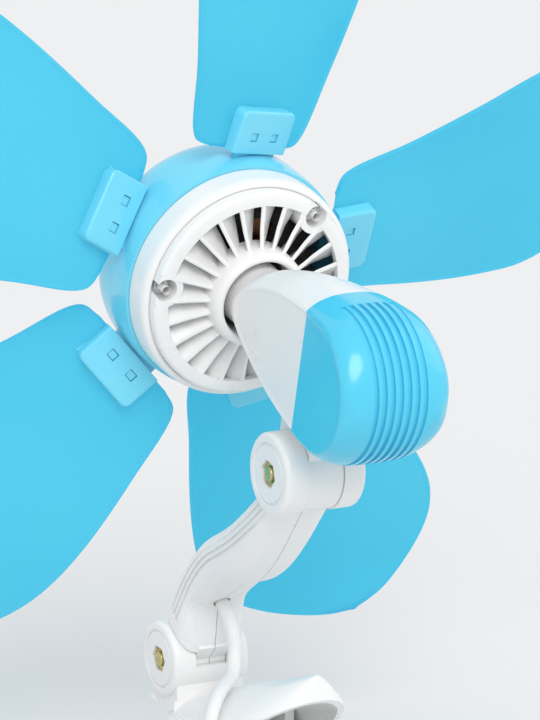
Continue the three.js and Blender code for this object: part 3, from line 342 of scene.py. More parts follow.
def smooth_along(pairs, at):
    """The same through a smooth curve."""
    points = [np.array(pair, float) for pair in pairs]
    if at <= points[0][0]:
        return float(points[0][1])
    if at >= points[-1][0]:
        return float(points[-1][1])
    i = max(k for k in range(len(points) - 1) if points[k][0] <= at)
    low, high = points[i], points[i + 1]
    before = points[i - 1] if i else low
    after = points[i + 2] if i + 2 < len(points) else high
    span = high[0] - low[0]
    slope_low = (high[1] - before[1]) / (high[0] - before[0])
    slope_high = (after[1] - low[1]) / (after[0] - low[0])
    t = (at - low[0]) / span
    return float(
        (2 * t**3 - 3 * t**2 + 1) * low[1]
        + (t**3 - 2 * t**2 + t) * span * slope_low
        + (3 * t**2 - 2 * t**3) * high[1]
        + (t**3 - t**2) * span * slope_high
    )


def super_point(angle, half_x, half_z, power):
    """Point of a superellipse at an angle."""
    c, s = math.cos(angle), math.sin(angle)
    return (
        half_x * math.copysign(abs(c) ** (2 / power), c),
        half_z * math.copysign(abs(s) ** (2 / power), s),
    )


def route_point(points, share):
    """Point of a centripetal Catmull-Rom curve through the points."""
    place = (len(points) - 1) * share
    i = min(int(place), len(points) - 2)
    w = place - i
    p1, p2 = points[i], points[i + 1]
    p0 = points[i - 1] if i else 2 * p1 - p2
    p3 = points[i + 2] if i + 2 < len(points) else 2 * p2 - p1
    d0, d1, d2 = (math.sqrt(np.linalg.norm(b - a)) for a, b in ((p0, p1), (p1, p2), (p2, p3)))
    t1 = ((p1 - p0) / d0 - (p2 - p0) / (d0 + d1) + (p2 - p1) / d1) * d1
    t2 = ((p2 - p1) / d1 - (p3 - p1) / (d1 + d2) + (p3 - p2) / d2) * d1
    c2 = -3 * p1 + 3 * p2 - 2 * t1 - t2
    c3 = 2 * p1 - 2 * p2 + t1 + t2
    return p1 + t1 * w + c2 * w * w + c3 * w**3


def at_angle(degrees):
    """Turn about Y that takes the top of the rotor to an angle."""
    return Matrix.Rotation(math.radians(degrees - 90), 4, "Y")


# ---------------------------------------------------------------- materials
def new_look(name):
    look = bpy.data.materials.new(name)
    look.use_nodes = True
    nodes = look.node_tree.nodes
    return look, nodes, look.node_tree.links, nodes["Principled BSDF"]


def noise(nodes, links, scale, detail=3.0):
    """Noise in object space; scale is in cycles per metre."""
    place = nodes.new("ShaderNodeTexCoord")
    made = nodes.new("ShaderNodeTexNoise")
    made.inputs["Scale"].default_value = scale
    made.inputs["Detail"].default_value = detail
    links.new(place.outputs["Object"], made.inputs["Vector"])
    return made.outputs["Fac"]


def ranged(nodes, links, source, low, high):
    """Maps 0.3..0.7 of a noise to low..high."""
    made = nodes.new("ShaderNodeMapRange")
    made.inputs["From Min"].default_value = 0.3
    made.inputs["From Max"].default_value = 0.7
    made.inputs["To Min"].default_value = low
    made.inputs["To Max"].default_value = high
    links.new(source, made.inputs["Value"])
    return made.outputs["Result"]


def tinted(nodes, links, factor, dark, light):
    ramp = nodes.new("ShaderNodeValToRGB")
    ramp.color_ramp.elements[0].position = 0.3
    ramp.color_ramp.elements[0].color = (*dark, 1)
    ramp.color_ramp.elements[1].position = 0.7
    ramp.color_ramp.elements[1].color = (*light, 1)
    links.new(factor, ramp.inputs["Fac"])
    return ramp.outputs["Color"]


def bumped(nodes, links, height, strength, distance, edge=0.0):
    """Normal of a fine relief, over edges that are rounded a little where asked."""
    bump = nodes.new("ShaderNodeBump")
    bump.inputs["Strength"].default_value = strength
    bump.inputs["Distance"].default_value = distance
    links.new(height, bump.inputs["Height"])
    if edge:
        round_edge = nodes.new("ShaderNodeBevel")
        round_edge.samples = 8
        round_edge.inputs["Radius"].default_value = edge
        links.new(round_edge.outputs["Normal"], bump.inputs["Normal"])
    return bump.outputs["Normal"]


def plastic(name, dark, light, rough, grain=0.12, glow=0.0, coat=0.0):
    """Moulded plastic: slow colour drift, uneven gloss and a fine moulded grain."""
    look, nodes, links, surface = new_look(name)
    drift = noise(nodes, links, 14, 2)
    links.new(tinted(nodes, links, drift, dark, light), surface.inputs["Base Color"])
    gloss = noise(nodes, links, 60, 4)
    links.new(ranged(nodes, links, gloss, rough - 0.05, rough + 0.07), surface.inputs["Roughness"])
    relief = noise(nodes, links, 1700, 2)
    links.new(bumped(nodes, links, relief, grain, 0.0002), surface.inputs["Normal"])
    surface.inputs["IOR"].default_value = 1.48
    if glow:
        surface.inputs["Subsurface Weight"].default_value = glow
        surface.inputs["Subsurface Radius"].default_value = (1, 0.9, 0.8)
        surface.inputs["Subsurface Scale"].default_value = 0.002
    if coat:
        surface.inputs["Coat Weight"].default_value = coat
        surface.inputs["Coat Roughness"].default_value = 0.08
    return look


def sheer_plastic():
    """Translucent tinted plastic of the blades."""
    look, nodes, links, surface = new_look("sheer_plastic")
    drift = noise(nodes, links, 9, 2)
    tint = tinted(nodes, links, drift, (0.13, 0.69, 0.90), (0.19, 0.76, 0.94))
    links.new(tint, surface.inputs["Base Color"])
    gloss = noise(nodes, links, 45, 4)
    links.new(ranged(nodes, links, gloss, 0.13, 0.22), surface.inputs["Roughness"])
    waves = noise(nodes, links, 26, 1)
    links.new(bumped(nodes, links, waves, 0.10, 0.001), surface.inputs["Normal"])
    surface.inputs["IOR"].default_value = 1.45
    through = nodes.new("ShaderNodeBsdfTranslucent")
    links.new(tint, through.inputs["Color"])
    glow = nodes.new("ShaderNodeMixShader")
    glow.inputs[0].default_value = 0.45
    links.new(surface.outputs[0], glow.inputs[1])
    links.new(through.outputs[0], glow.inputs[2])
    clear = nodes.new("ShaderNodeBsdfTransparent")
    clear.inputs["Color"].default_value = (0.36, 0.88, 0.99, 1)
    sheer = nodes.new("ShaderNodeMixShader")
    sheer.inputs[0].default_value = 0.45
    links.new(glow.outputs[0], sheer.inputs[1])
    links.new(clear.outputs[0], sheer.inputs[2])
    links.new(sheer.outputs[0], nodes["Material Output"].inputs["Surface"])
    return look


def metal(name, dark, light, rough, grain=0.25):
    """Plated or turned metal with fine scratches."""
    look, nodes, links, surface = new_look(name)
    surface.inputs["Metallic"].default_value = 1
    stain = noise(nodes, links, 220, 4)
    links.new(tinted(nodes, links, stain, dark, light), surface.inputs["Base Color"])
    scratch = noise(nodes, links, 2600, 3)
    links.new(ranged(nodes, links, scratch, rough - 0.08, rough + 0.1), surface.inputs["Roughness"])
    links.new(bumped(nodes, links, scratch, grain, 0.0001, 0.0003), surface.inputs["Normal"])
    return look


def ribbed_rubber():
    look, nodes, links, surface = new_look("ribbed_rubber")
    dust = noise(nodes, links, 300, 4)
    tone = tinted(nodes, links, dust, (0.030, 0.030, 0.032), (0.060, 0.060, 0.063))
    links.new(tone, surface.inputs["Base Color"])
    links.new(ranged(nodes, links, dust, 0.62, 0.8), surface.inputs["Roughness"])
    place = nodes.new("ShaderNodeTexCoord")
    ribs = nodes.new("ShaderNodeTexWave")
    ribs.bands_direction = "Y"
    ribs.inputs["Scale"].default_value = 100
    links.new(place.outputs["Object"], ribs.inputs["Vector"])
    links.new(bumped(nodes, links, ribs.outputs["Fac"], 0.7, 0.0008), surface.inputs["Normal"])
    return look


WHITE = plastic("white_plastic", (0.86, 0.855, 0.845), (0.90, 0.895, 0.885), 0.30, glow=0.06)
BLUE = plastic("blue_plastic", (0.06, 0.56, 0.80), (0.09, 0.62, 0.85), 0.20, 0.06, coat=0.3)
HUB_BLUE = plastic("hub_plastic", (0.15, 0.66, 0.87), (0.19, 0.70, 0.90), 0.20, 0.06, coat=0.3)
SHEER = sheer_plastic()
CORD_SKIN = plastic("cord_skin", (0.82, 0.815, 0.80), (0.86, 0.855, 0.84), 0.42, 0.2)
DARK = plastic("dark_plastic", (0.020, 0.020, 0.022), (0.035, 0.035, 0.038), 0.45, 0.2)
STEEL = metal("zinc_steel", (0.50, 0.51, 0.52), (0.66, 0.67, 0.68), 0.30)
BRASS = metal("yellow_zinc", (0.56, 0.47, 0.20), (0.72, 0.63, 0.30), 0.30)
COPPER = metal("copper_wire", (0.50, 0.20, 0.09), (0.66, 0.30, 0.15), 0.34)
BLACK = plastic("black_paint", (0.018, 0.018, 0.020), (0.030, 0.030, 0.033), 0.35, 0.3)
RUBBER = ribbed_rubber()


# ---------------------------------------------------------------- cord
CORD_RADIUS = 2.8
LEAD_ROUTE = [
    (0, 4.7, 86.4), (0, 8.3, 82.9), (0, 12.6, 78.6), (0, 16.2, 73.5), (0.5, 18.4, 67.5),
    (2.2, 21, 62.3), (5.5, 25.5, 59.4), (11, 31.8, 59), (17, 38.8, 58.9), (22.5, 45.3, 57.8),
    (27.8, 51.5, 54), (32.5, 57, 47.5), (38.5, 62.2, 37.5), (45.5, 67.2, 26.6),
    (53, 72, 15.8), (59.8, 75.8, 8.6), (65.5, 78.5, 4.8), (70.5, 80.4, 3.5), (75, 81.8, 3.6),
    (79.3, 82.5, 4.2), (83.7, 82.5, 4.2),
]
LINK_ROUTE = [
    (134.3, 82.5, 4.2), (139.5, 82.5, 4.2), (146, 81.5, 3.9), (152.5, 78.3, 3.5),
    (157.6, 72.8, 3.2), (160.6, 66, 3.2), (161.5, 58, 3.4), (161.5, 48, 3.8), (161.5, 38, 4.2),
    (161.5, 26.3, 4.2),
]
TAIL_ROUTE = [
    (116.7, -18.5, 10.4), (112, -18.5, 10.2), (106, -18.5, 8.9), (100, -18.5, 7.5),
    (96, -18.5, 7), (92.3, -18.5, 7),
]
COIL_CENTRE = (123, 20)
COIL_OUTER = 38.5
COIL_PITCH = 6.4
COIL_TURNS = 2.375
COIL_CLIMB = 0.5
COIL_LAYER = 6.2
COIL_DRAW = 1.6
COIL_LOW = 4.2


def coil_point(turn):
    """Point of the coil after a number of turns: in, up a layer and out again."""
    share = min(max((turn - COIL_TURNS) / COIL_CLIMB, 0), 1)
    inward = COIL_OUTER - COIL_PITCH * min(turn, COIL_TURNS)
    inner = COIL_OUTER - COIL_PITCH * COIL_TURNS
    outward = inner + COIL_PITCH * max(turn - COIL_TURNS - COIL_CLIMB, 0)
    radius = (inward if share < 1 else outward) - COIL_DRAW * math.sin(math.pi * share)
    height = COIL_LOW + COIL_LAYER * share * share * (3 - 2 * share)
    angle = -2 * math.pi * turn
    x, y = COIL_CENTRE
    return np.array((x + radius * math.cos(angle), y + radius * math.sin(angle), height))


def route_points(route, per_span=6):
    points = [np.array(point, float) for point in route]
    count = (len(points) - 1) * per_span
    return [route_point(points, i / count) for i in range(count + 1)]


def cord_line():
    """The whole cord's centre line, from the arm to the plug."""
    total = 2 * COIL_TURNS + COIL_CLIMB
    count = round(total * 64)
    coil = [coil_point(total * i / count) for i in range(count + 1)]
    start = [coil[0] + np.array((0, 2 * CORD_RADIUS, 0))]
    end = [coil[-1] - np.array((2 * CORD_RADIUS, 0, 0))]
    before = route_points(LEAD_ROUTE) + route_points(LINK_ROUTE)
    return before + start + coil + end + route_points(TAIL_ROUTE)


def tube(name, line, radius, sides=20):
    """Round tube along a line, its rings turned as little as possible from one to the next."""
    rings = []
    side = np.array((1.0, 0.0, 0.0))
    for i, point in enumerate(line):
        ahead = line[min(i + 1, len(line) - 1)] - line[max(i - 1, 0)]
        ahead = ahead / np.linalg.norm(ahead)
        side = side - ahead * side.dot(ahead)
        side = side / np.linalg.norm(side)
        other = np.cross(ahead, side)
        angles = [2 * math.pi * k / sides for k in range(sides)]
        rings.append([point + radius * (math.cos(a) * side + math.sin(a) * other) for a in angles])
    return new_piece(name, *loft(rings))


def add_cord():
    """The cord as one fixed mesh, and its centre line."""
    line = cord_line()
    cord = shade(tube("cord", line, CORD_RADIUS), 60)
    cord.data.materials.append(CORD_SKIN)
    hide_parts("cord_lead", "cord_link", "cord_coil", "cord_tail")
    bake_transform(cord)
    return cord, line


CORD, CORD_LINE = add_cord()


# ---------------------------------------------------------------- moulded shapes and knuckle ears
BOLT_BORE = 3.25
HEX_RADIUS = 10 / math.sqrt(3)
TONGUE_HALF_WIDTH = 7.2
KNUCKLE_HALF_WIDTH = 17
TOP_EAR_RADIUS = 16
LOW_EAR_RADIUS = 15.6


def even(points, count, closed=True):
    """The same line with its points a constant distance apart."""
    line = np.array(points + points[:1] if closed else points, float)
    reach = np.concatenate(([0], np.cumsum(np.linalg.norm(np.diff(line, axis=0), axis=1))))
    at = np.linspace(0, reach[-1], count + 1 if closed else count)
    at = at[:-1] if closed else at
    return [tuple(np.interp(a, reach, line[:, i]) for i in range(line.shape[1])) for a in at]


def curve_through(pairs, count):
    """Points on a smooth curve through pairs of numbers."""
    points = [np.array(pair, float) for pair in pairs]
    return [tuple(route_point(points, i / (count - 1))) for i in range(count)]


def turned_x(outline, y, z, side=1, sides=96):
    """Closed outline of (radius, x) turned about an axis along X."""
    points, faces = turned(outline, sides)
    return [(side * x, y + a, z + b) for a, x, b in points], faces


def plate_x(outline, x0, x1):
    return loft([[(x, y, z) for y, z in outline] for x in (x0, x1)])


def plate_z(outline, z0, z1):
    return loft([[(x, y, z) for x, y in outline] for z in (z0, z1)])


def ear_tools(side, radius, y, z):
    """What is cut from the outer face of an ear: round rim, ring groove, recess and bore."""
    arc = [math.radians(15 * k) for k in range(7)]
    rim = [(radius + 4, 18.5), (radius + 4, 15)]
    rim += [(radius - 2 + 2 * math.cos(a), 15 + 2 * math.sin(a)) for a in arc]
    rim.append((radius - 2, 18.5))
    groove = [(12.4, 18), (12.2, 16.9), (11.9, 16.25), (11.3, 16.25), (11, 16.9), (10.8, 18)]
    hexagon = rod("X", HEX_RADIUS, side * 11.5, side * 19, y, z, 6)
    bore = rod("X", BOLT_BORE, 0, side * 12, y, z, 32)
    rings = [turned_x(outline, y, z, side) for outline in (rim, groove)]
    return rings + [hexagon, bore]


# ---------------------------------------------------------------- head housing
TAIL_RADIUS = 30
TAIL_Y = 90
HALF_HEIGHT = [
    (-2, 13.4), (11, 13.5), (17, 15), (26, 19), (38, 23.2), (52, 26.6), (66, 28.8), (80, 29.9),
    (90, 30),
]
HALF_WIDTH = [
    (-2, 13.4), (11, 13.5), (20, 16.6), (40, 21), (60, 24.2), (80, 26), (95, 26), (110, 24.2),
    (116, 21.8), (119.5, 17.4), (120, 16),
]
FACET = [
    (-2, 15.2), (8, 14.2), (14, 13.8), (22, 13.7), (40, 14.8), (75.6, 18.3), (100, 21),
    (117, 22.6), (120, 22.8),
]
KNUCKLE_Y, KNUCKLE_Z = 61.5, -47.9
NECK_FRONT, NECK_LENGTH = -2, 77.6
TAIL_START = 75.9
TAIL_PROUD = 0.25
GROOVE_COUNT = 7
GROOVE_PITCH = 3.4
GROOVE_HALF_WIDTH = 0.95
FACET_SOFTNESS = 0.45
FACET_SINK = 0.55


def housing_ring(y, proud=0.0, count=176):
    """Outline of the head housing at one place, with a shallow flat on both sides."""
    beyond = y - TAIL_Y
    high = smooth_along(HALF_HEIGHT, y)
    if beyond > 0:
        high = math.sqrt(max(TAIL_RADIUS**2 - beyond**2, 0.1))
    high += proud
    wide = smooth_along(HALF_WIDTH, y) + proud
    middle = along([(10, 0), (TAIL_Y, 2)], y)
    power = smooth_along([(10, 2), (40, 2.2), (70, 2.45), (100, 3), (120, 3)], y)
    facet = smooth_along(FACET, y) + proud
    ring = []
    for k in range(720):
        x, z = super_point(math.pi * k / 360, wide, high, power)
        sides = math.exp(-abs(x) / FACET_SOFTNESS) + math.exp(-facet / FACET_SOFTNESS)
        soft = -FACET_SOFTNESS * math.log(sides)
        sunk = min(max((abs(x) - facet) / 1.5, 0), 1)
        x = math.copysign(max(soft, 0.0) - FACET_SINK * sunk * sunk * (3 - 2 * sunk), x)
        ring.append((x, y, z + middle))
    return even(ring, count)


def add_neck():
    stations = [NECK_FRONT + NECK_LENGTH * i / 62 for i in range(63)]
    body = loft([housing_ring(y) for y in stations])
    half = TONGUE_HALF_WIDTH
    tongue = rod("X", 15.4, -half, half, KNUCKLE_Y, KNUCKLE_Z, 96)
    web = block(-half, half, KNUCKLE_Y - 12, KNUCKLE_Y + 12, KNUCKLE_Z, -20)
    neck = new_piece("motor_neck_fine", *gathered([body, tongue, web]), HEAD_PLACE)
    shade(neck, 38)
    finish_piece(neck, "head", WHITE, "white_plastic", "motor_neck")


def groove_tool(x):
    """Part of a ring round the tail, from the top over the rear to the bottom."""
    angles = [math.radians(-96 + 3 * k) for k in range(65)]
    outline = [(TAIL_Y + 29 * math.cos(a), 2 + 29 * math.sin(a)) for a in angles]
    outline += [(TAIL_Y + 34 * math.cos(a), 2 + 34 * math.sin(a)) for a in reversed(angles)]
    return plate_x(outline, x - GROOVE_HALF_WIDTH, x + GROOVE_HALF_WIDTH)


def add_tail():
    stations = [TAIL_START + (TAIL_Y - TAIL_START) * i / 12 for i in range(12)]
    stations += [TAIL_Y + TAIL_RADIUS * math.sin(math.radians(2.2 * i)) for i in range(41)]
    rings = [housing_ring(y, TAIL_PROUD) for y in stations]
    tail = new_piece("tail_cap_fine", *loft(rings), HEAD_PLACE)
    places = [GROOVE_PITCH * (i - GROOVE_COUNT // 2) for i in range(GROOVE_COUNT)]
    grooves = gathered([groove_tool(x) for x in places])
    cut(tail, new_piece("tool", *grooves, HEAD_PLACE))
    shade(tail, 34)
    finish_piece(tail, "head", BLUE, "blue_plastic", "tail_cap")


# ---------------------------------------------------------------- rotor
FIRST_BLADE = 77.3
BLADE_COUNT = 5
WELL_ANGLES = (172.5, 52.5, -67.5)
WELL_PLACE = 38.5
TRAILING_EDGE = [
    (48.9, -15, -33.4), (51.5, -23, -36.1), (81.5, -30.3, -40.9), (116, -36.8, -47),
    (140, -39.3, -50.8), (156, -39, -52.2), (170, -33.6, -51.6), (184.3, -19.6, -49),
    (196, -0.9, -46), (199.6, 8.5, -44.6), (200.8, 16.9, -43.6),
]
LEADING_EDGE = [
    (48.9, 25, -21.1), (51.5, 33, -19), (81, 43.2, -16.9), (114, 53.7, -18),
    (136, 59.4, -22.2), (152, 61, -27.3), (167.5, 58.2, -32.4), (184, 48.7, -38),
    (196.4, 34.3, -41), (199.9, 25.5, -42.4), (200.8, 18, -43.4),
]
SOCKET_LEAN = Matrix.Rotation(math.radians(17.5), 4, "Z")
SOCKET_SHIFT = Matrix.Translation((3.4, 0, -1.5))
LEAN = Matrix.Translation((0, -27.6, 0)) @ SOCKET_LEAN @ SOCKET_SHIFT
SOCKET_HALF = 15
SOCKET_START, SOCKET_END = 50.1, 67.5
SOCKET_CORNER = 3
SNAP_PLACE = 5.67
POST_RADIUS = 3.6
WELL_RADIUS, SCREW_RADIUS = 4.5, 1.7
VANE_COUNT = 24
VANE_LEAN = math.tan(math.radians(12))
BEAD = [(0, 0.25), (0.35, 0.95), (0.9, 1.25), (1.5, 1.1), (2.1, 0.66), (2.8, 0.62)]
BEAD_PLACES = (0, 0.35, 0.9, 1.5, 2.1, 2.8, 4)
CAMBER = 8


def blade_plate(stations=72):
    """Twisted plate with a thin raised bead along its edge."""
    edges = []
    for edge in (TRAILING_EDGE, LEADING_EDGE):
        edges.append([np.array((c, y, s), float) for s, c, y in edge])
    rings = []
    for i in range(stations):
        t = 0.5 - 0.5 * math.cos(math.pi * (i / (stations - 1)))
        from_edge, to_edge = (route_point(edge, t) for edge in edges)
        width = np.linalg.norm(to_edge - from_edge)
        left = [min(p, p * width / 12) / width for p in BEAD_PLACES]
        middle = [0.08 + 0.84 * k / 16 for k in range(1, 16)]
        shares = left + middle + [1 - share for share in reversed(left)]
        rear, front = [], []
        for u in shares:
            half = along(BEAD, min(u, 1 - u) * width)
            x, y, z = from_edge + (to_edge - from_edge) * u
            y += CAMBER * u * (1 - u)
            rear.append((x, y + half, z))
            front.insert(0, (x, y - half, z))
        rings.append(rear + front)
    return loft(rings)


def socket_ring(height, inset):
    half, end = SOCKET_HALF - inset, SOCKET_END - inset
    round_by = SOCKET_CORNER
    ring = [(-half, SOCKET_START), (half, SOCKET_START)]
    for side, start in ((1, 0), (-1, 90)):
        for k in range(9):
            a = math.radians(start + 90 * k / 8)
            across = side * (half - round_by) + round_by * math.cos(a)
            ring.append((across, end - round_by + round_by * math.sin(a)))
    return [(c, height, s) for c, s in ring]


def socket_shape():
    """Box on the root that takes the cowl's tongue, with rounded upper edges."""
    levels = [(-0.55, 0), (4.6, 0), (5.1, 0.15), (5.5, 0.45), (5.75, 0.85), (5.8, 1.3)]
    return moved(loft([socket_ring(height, inset) for height, inset in levels]), LEAN)


def add_blades():
    """One blade with its socket, slot and snap holes, then copies of it round the hub."""
    place = HEAD_PLACE @ at_angle(FIRST_BLADE)
    first = new_piece("fan_blade_1_fine", *blade_plate(), place)
    cut(first, new_piece("tool", *socket_shape(), place), "UNION")
    tools = [block(-11.3, 11.3, 1.15, 4.15, 43.6, 64.5)]
    for x in (-SNAP_PLACE, SNAP_PLACE):
        tools.append(block(x - 2, x + 2, 3.85, 7.8, 55.05, 58.55))
    cut(first, new_piece("tool", *moved(gathered(tools), LEAN), place))
    shade(first, 30)
    first.data.materials.append(SHEER)
    first.data.materials.append(HUB_BLUE)
    back, upright = place.inverted(), LEAN.inverted()
    for face in first.data.polygons:
        c, y, s = upright @ ((back @ face.center) / MM)
        on_socket = abs(c) < SOCKET_HALF + 0.05 and 43 < s < SOCKET_END + 0.05 and -0.56 < y < 5.85
        face.material_index = int(on_socket)
    for i in range(BLADE_COUNT):
        blade = first
        if i:
            blade = bpy.data.objects.new(f"fan_blade_{i + 1}_fine", first.data.copy())
            bpy.context.scene.collection.objects.link(blade)
            there = HEAD_PLACE @ at_angle(FIRST_BLADE + 360 / BLADE_COUNT * i)
            blade.data.transform(there @ back)
        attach(blade, "rotor")
        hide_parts(f"fan_blade_{i + 1}")


def hub_tongue():
    """Bar with two snap bumps that a socket slides over."""
    bars = [block(-11, 11, 1.45, 3.85, 44.2, 64.2)]
    for x in (-SNAP_PLACE, SNAP_PLACE):
        bars.append(block(x - 1.7, x + 1.7, 3.65, 5.2, 55.35, 58.25))
    return moved(gathered(bars), LEAN)


def add_cowl():
    """Bell of the hub with its screw posts and the blades' tongues."""
    outside = [
        (47, -11.7), (47.5, -16), (47.7, -22), (47.7, -29), (46.8, -37), (43.7, -43.5),
        (36.7, -48.5), (26, -50.6), (14, -51.7), (0, -52),
    ]
    inside = [(0, -50), (35.7, -46.2), (42.1, -41.5), (45.7, -29), (45, -11.7)]
    shapes = [turned(curve_through(outside, 56) + inside, 144)]
    for angle in WELL_ANGLES:
        shapes.append(moved(rod("Y", POST_RADIUS, -46, -8.3, 0, WELL_PLACE, 32), at_angle(angle)))
    for i in range(BLADE_COUNT):
        shapes.append(moved(hub_tongue(), at_angle(FIRST_BLADE + 360 / BLADE_COUNT * i)))
    cowl = shade(new_piece("hub_cowl_fine", *gathered(shapes), HEAD_PLACE), 34)
    finish_piece(cowl, "rotor", HUB_BLUE, "blue_plastic", "hub_cowl")


def vane():
    """One louvre with a rounded rear edge."""
    rings = []
    for r, half, rear in ((19.1, 0.8, 7), (28, 0.9, 5.2), (37.5, 1, 4.4)):
        section = [(-half, rear - 0.7), (-0.7 * half, rear - 0.2), (0, rear)]
        section += [(0.7 * half, rear - 0.2), (half, rear - 0.7)]
        section += [(half - r * VANE_LEAN, -2), (-half - r * VANE_LEAN, -2)]
        rings.append([(c, y, r) for c, y in section])
    return loft(rings)


def add_cover():
    """Rim and collar joined by the vanes, with a well at each screw."""
    shoulder = [(45.7, -11.4), (45.6, -6), (45.4, -2.6), (44.7, -0.7), (43.6, 0)]
    ring = curve_through(shoulder, 18) + [(43, 0), (43, -0.7), (42.4, -0.7), (42.4, 2.6)]
    ring += curve_through([(42.2, 3.3), (41.4, 4.1), (40, 4.45), (38, 4.6), (36.8, 4.55)], 12)
    ring += [(36.8, 1.5), (40.6, 0.6), (43, -3.4), (43.7, -11.4)]
    lip = [(20.4, 3), (20, 8), (19.2, 10.6), (17.8, 11.9), (16.6, 11.5), (16, 9.8)]
    collar = [(20.4, -1.5)] + curve_through(lip, 28) + [(16, -1.5)]
    shapes = [turned(ring, 144), turned(collar, 144)]
    shapes += [moved(vane(), at_angle(360 / VANE_COUNT * i)) for i in range(VANE_COUNT)]
    cover = new_piece("rotor_cover_fine", *gathered(shapes), HEAD_PLACE)
    boss = rod("Y", 7.1, -8, 4.3, 0, WELL_PLACE, 64)
    bosses = gathered([moved(boss, at_angle(angle)) for angle in WELL_ANGLES])
    bosses = new_piece("bosses", *bosses, HEAD_PLACE)
    cut(bosses, new_piece("tool", *rod("Y", 42.45, -9, 5, 0, 0, 144), HEAD_PLACE), "INTERSECT")
    cut(cover, bosses, "UNION")
    wells = []
    for angle in WELL_ANGLES:
        for radius, depth in ((WELL_RADIUS, -3), (SCREW_RADIUS, -9)):
            wells.append(moved(rod("Y", radius, depth, 6, 0, WELL_PLACE, 48), at_angle(angle)))
    cut(cover, new_piece("tool", *gathered(wells), HEAD_PLACE))
    shade(cover, 34)
    finish_piece(cover, "rotor", WHITE, "white_plastic", "rotor_cover")


# ---------------------------------------------------------------- arm
ARM_FRONT = [
    (14, 16), (24, 17.7), (34, 19.2), (43, 20.1), (52, 20), (62, 18.6), (73, 15), (84.4, 11.5),
    (97, 8.6), (112, 5.8), (123, 4.4),
]
ARM_REAR = [
    (14, -8.6), (20, -5.6), (30.6, 1.6), (36.9, 2.3), (48.8, -0.2), (59.4, -3.4), (69.7, -8.6),
    (81.6, -11), (97, -11.2), (112, -10), (123, -9),
]
ARM_LENGTH = 136.1
ARM_HALF_WIDTH = 14.4
ARM_WALL = 2.4
ARM_PARTING = 0.15
CORD_HOLE_Y, CORD_HOLE_RADIUS = 36.5, 3.6


def arm_ring(y, inset, count):
    """Right half of the arm's outline at one place."""
    front = smooth_along(ARM_FRONT, y) - inset
    rear = smooth_along(ARM_REAR, y) + inset
    raw = []
    for k in range(181):
        x, z = super_point(math.radians(k - 90), ARM_HALF_WIDTH - inset, (front - rear) / 2, 3)
        raw.append((max(x, ARM_PARTING), y, z + (front + rear) / 2))
    return even(raw, count, closed=False)


def arm_groove(depth):
    """One of the lines pressed into the arm's side."""
    line = [(y, smooth_along(ARM_FRONT, y) - depth) for y in range(20, 120, 2)]
    low = [(y, z - 0.7) for y, z in line]
    high = [(y, z + 0.7) for y, z in reversed(line)]
    return plate_x(low + high, 13.5, 17)


def add_arm():
    """Right half shell, and the left one as its mirror image."""
    shell = loft([arm_ring(15 + 108 * i / 72, 0, 64) for i in range(73)])
    half = new_piece("arm_right_fine", *shell, ARM_PLACE)
    ear = rod("X", TOP_EAR_RADIUS, ARM_PARTING, KNUCKLE_HALF_WIDTH, ARM_LENGTH, 0, 128)
    cut(half, new_piece("tool", *ear, ARM_PLACE), "UNION")
    tools = [
        rod("X", 16.2, -1, 20, 0, 0, 128),
        loft([arm_ring(30 + 67 * i / 24, ARM_WALL, 32) for i in range(25)]),
        rod("X", 16.1, -1, 7.5, ARM_LENGTH, 0, 128),
        block(-1, 7.5, ARM_LENGTH, ARM_LENGTH + 20, -20, 20),
    ]
    tools += ear_tools(1, TOP_EAR_RADIUS, ARM_LENGTH, 0)
    tools += [arm_groove(4 + 2.5 * k) for k in range(4)]
    ring = []
    for k in range(48):
        a = math.radians(7.5 * k)
        x = CORD_HOLE_RADIUS * math.cos(a)
        ring.append((x, CORD_HOLE_Y + CORD_HOLE_RADIUS * math.sin(a)))
    tools.append(plate_z(ring, -4, 8))
    cut(half, new_piece("tool", *gathered(tools), ARM_PLACE))
    reach = (ARM_PARTING, TONGUE_HALF_WIDTH)
    low = gathered([rod("X", 12.4, *reach, 0, 0, 96), block(*reach, 0, 18, -8, 11.5)])
    low = new_piece("low", *low, ARM_PLACE)
    cut(low, new_piece("tool", *rod("X", BOLT_BORE, -1, 9, 0, 0, 32), ARM_PLACE))
    cut(half, low, "UNION")
    shade(half, 30)
    other = bpy.data.objects.new("arm_left_fine", half.data.copy())
    bpy.context.scene.collection.objects.link(other)
    other.data.transform(Matrix.Scale(-1, 4, (1, 0, 0)))
    other.data.flip_normals()
    finish_piece(half, "arm", WHITE, "white_plastic", "arm_right")
    finish_piece(other, "arm", WHITE, "white_plastic", "arm_left")


# ---------------------------------------------------------------- clip
CLIP_Y, CLIP_LENGTH, CLIP_WIDTH = 29.2, 57, 27
CLIP_POWER = 2.3
CLIP_WALL = 2.4
KNUCKLE = (-17.3, 57)
PIN = (22.7, 21)
LUG_RADIUS, PIN_BORE = 6, 2.8
JAW_BACK = 12


def crown_height(y):
    return 40.7 + 0.349 * (y + 14.8)


def crown_shape(inset, stations=64):
    """Domed solid over an oval plan."""
    drop = curve_through([(1, 16), (0.97, 12.6), (0.85, 9.2), (0.62, 5), (0.32, 1.4), (0, 0)], 22)
    rings = []
    for i in range(stations):
        share = -0.9996 * math.cos(math.pi * i / (stations - 1))
        y = CLIP_Y + share * (CLIP_LENGTH - inset)
        half = (CLIP_WIDTH - inset) * (1 - abs(share) ** CLIP_POWER) ** (1 / CLIP_POWER)
        top = crown_height(y) - inset
        left = [(-u * half, top - d) for u, d in drop]
        right = [(u * half, top - d) for u, d in reversed(drop[:-1])]
        rings.append([(x, y, z) for x, z in [(-half, -12)] + left + right + [(half, -12)]])
    return loft(rings)


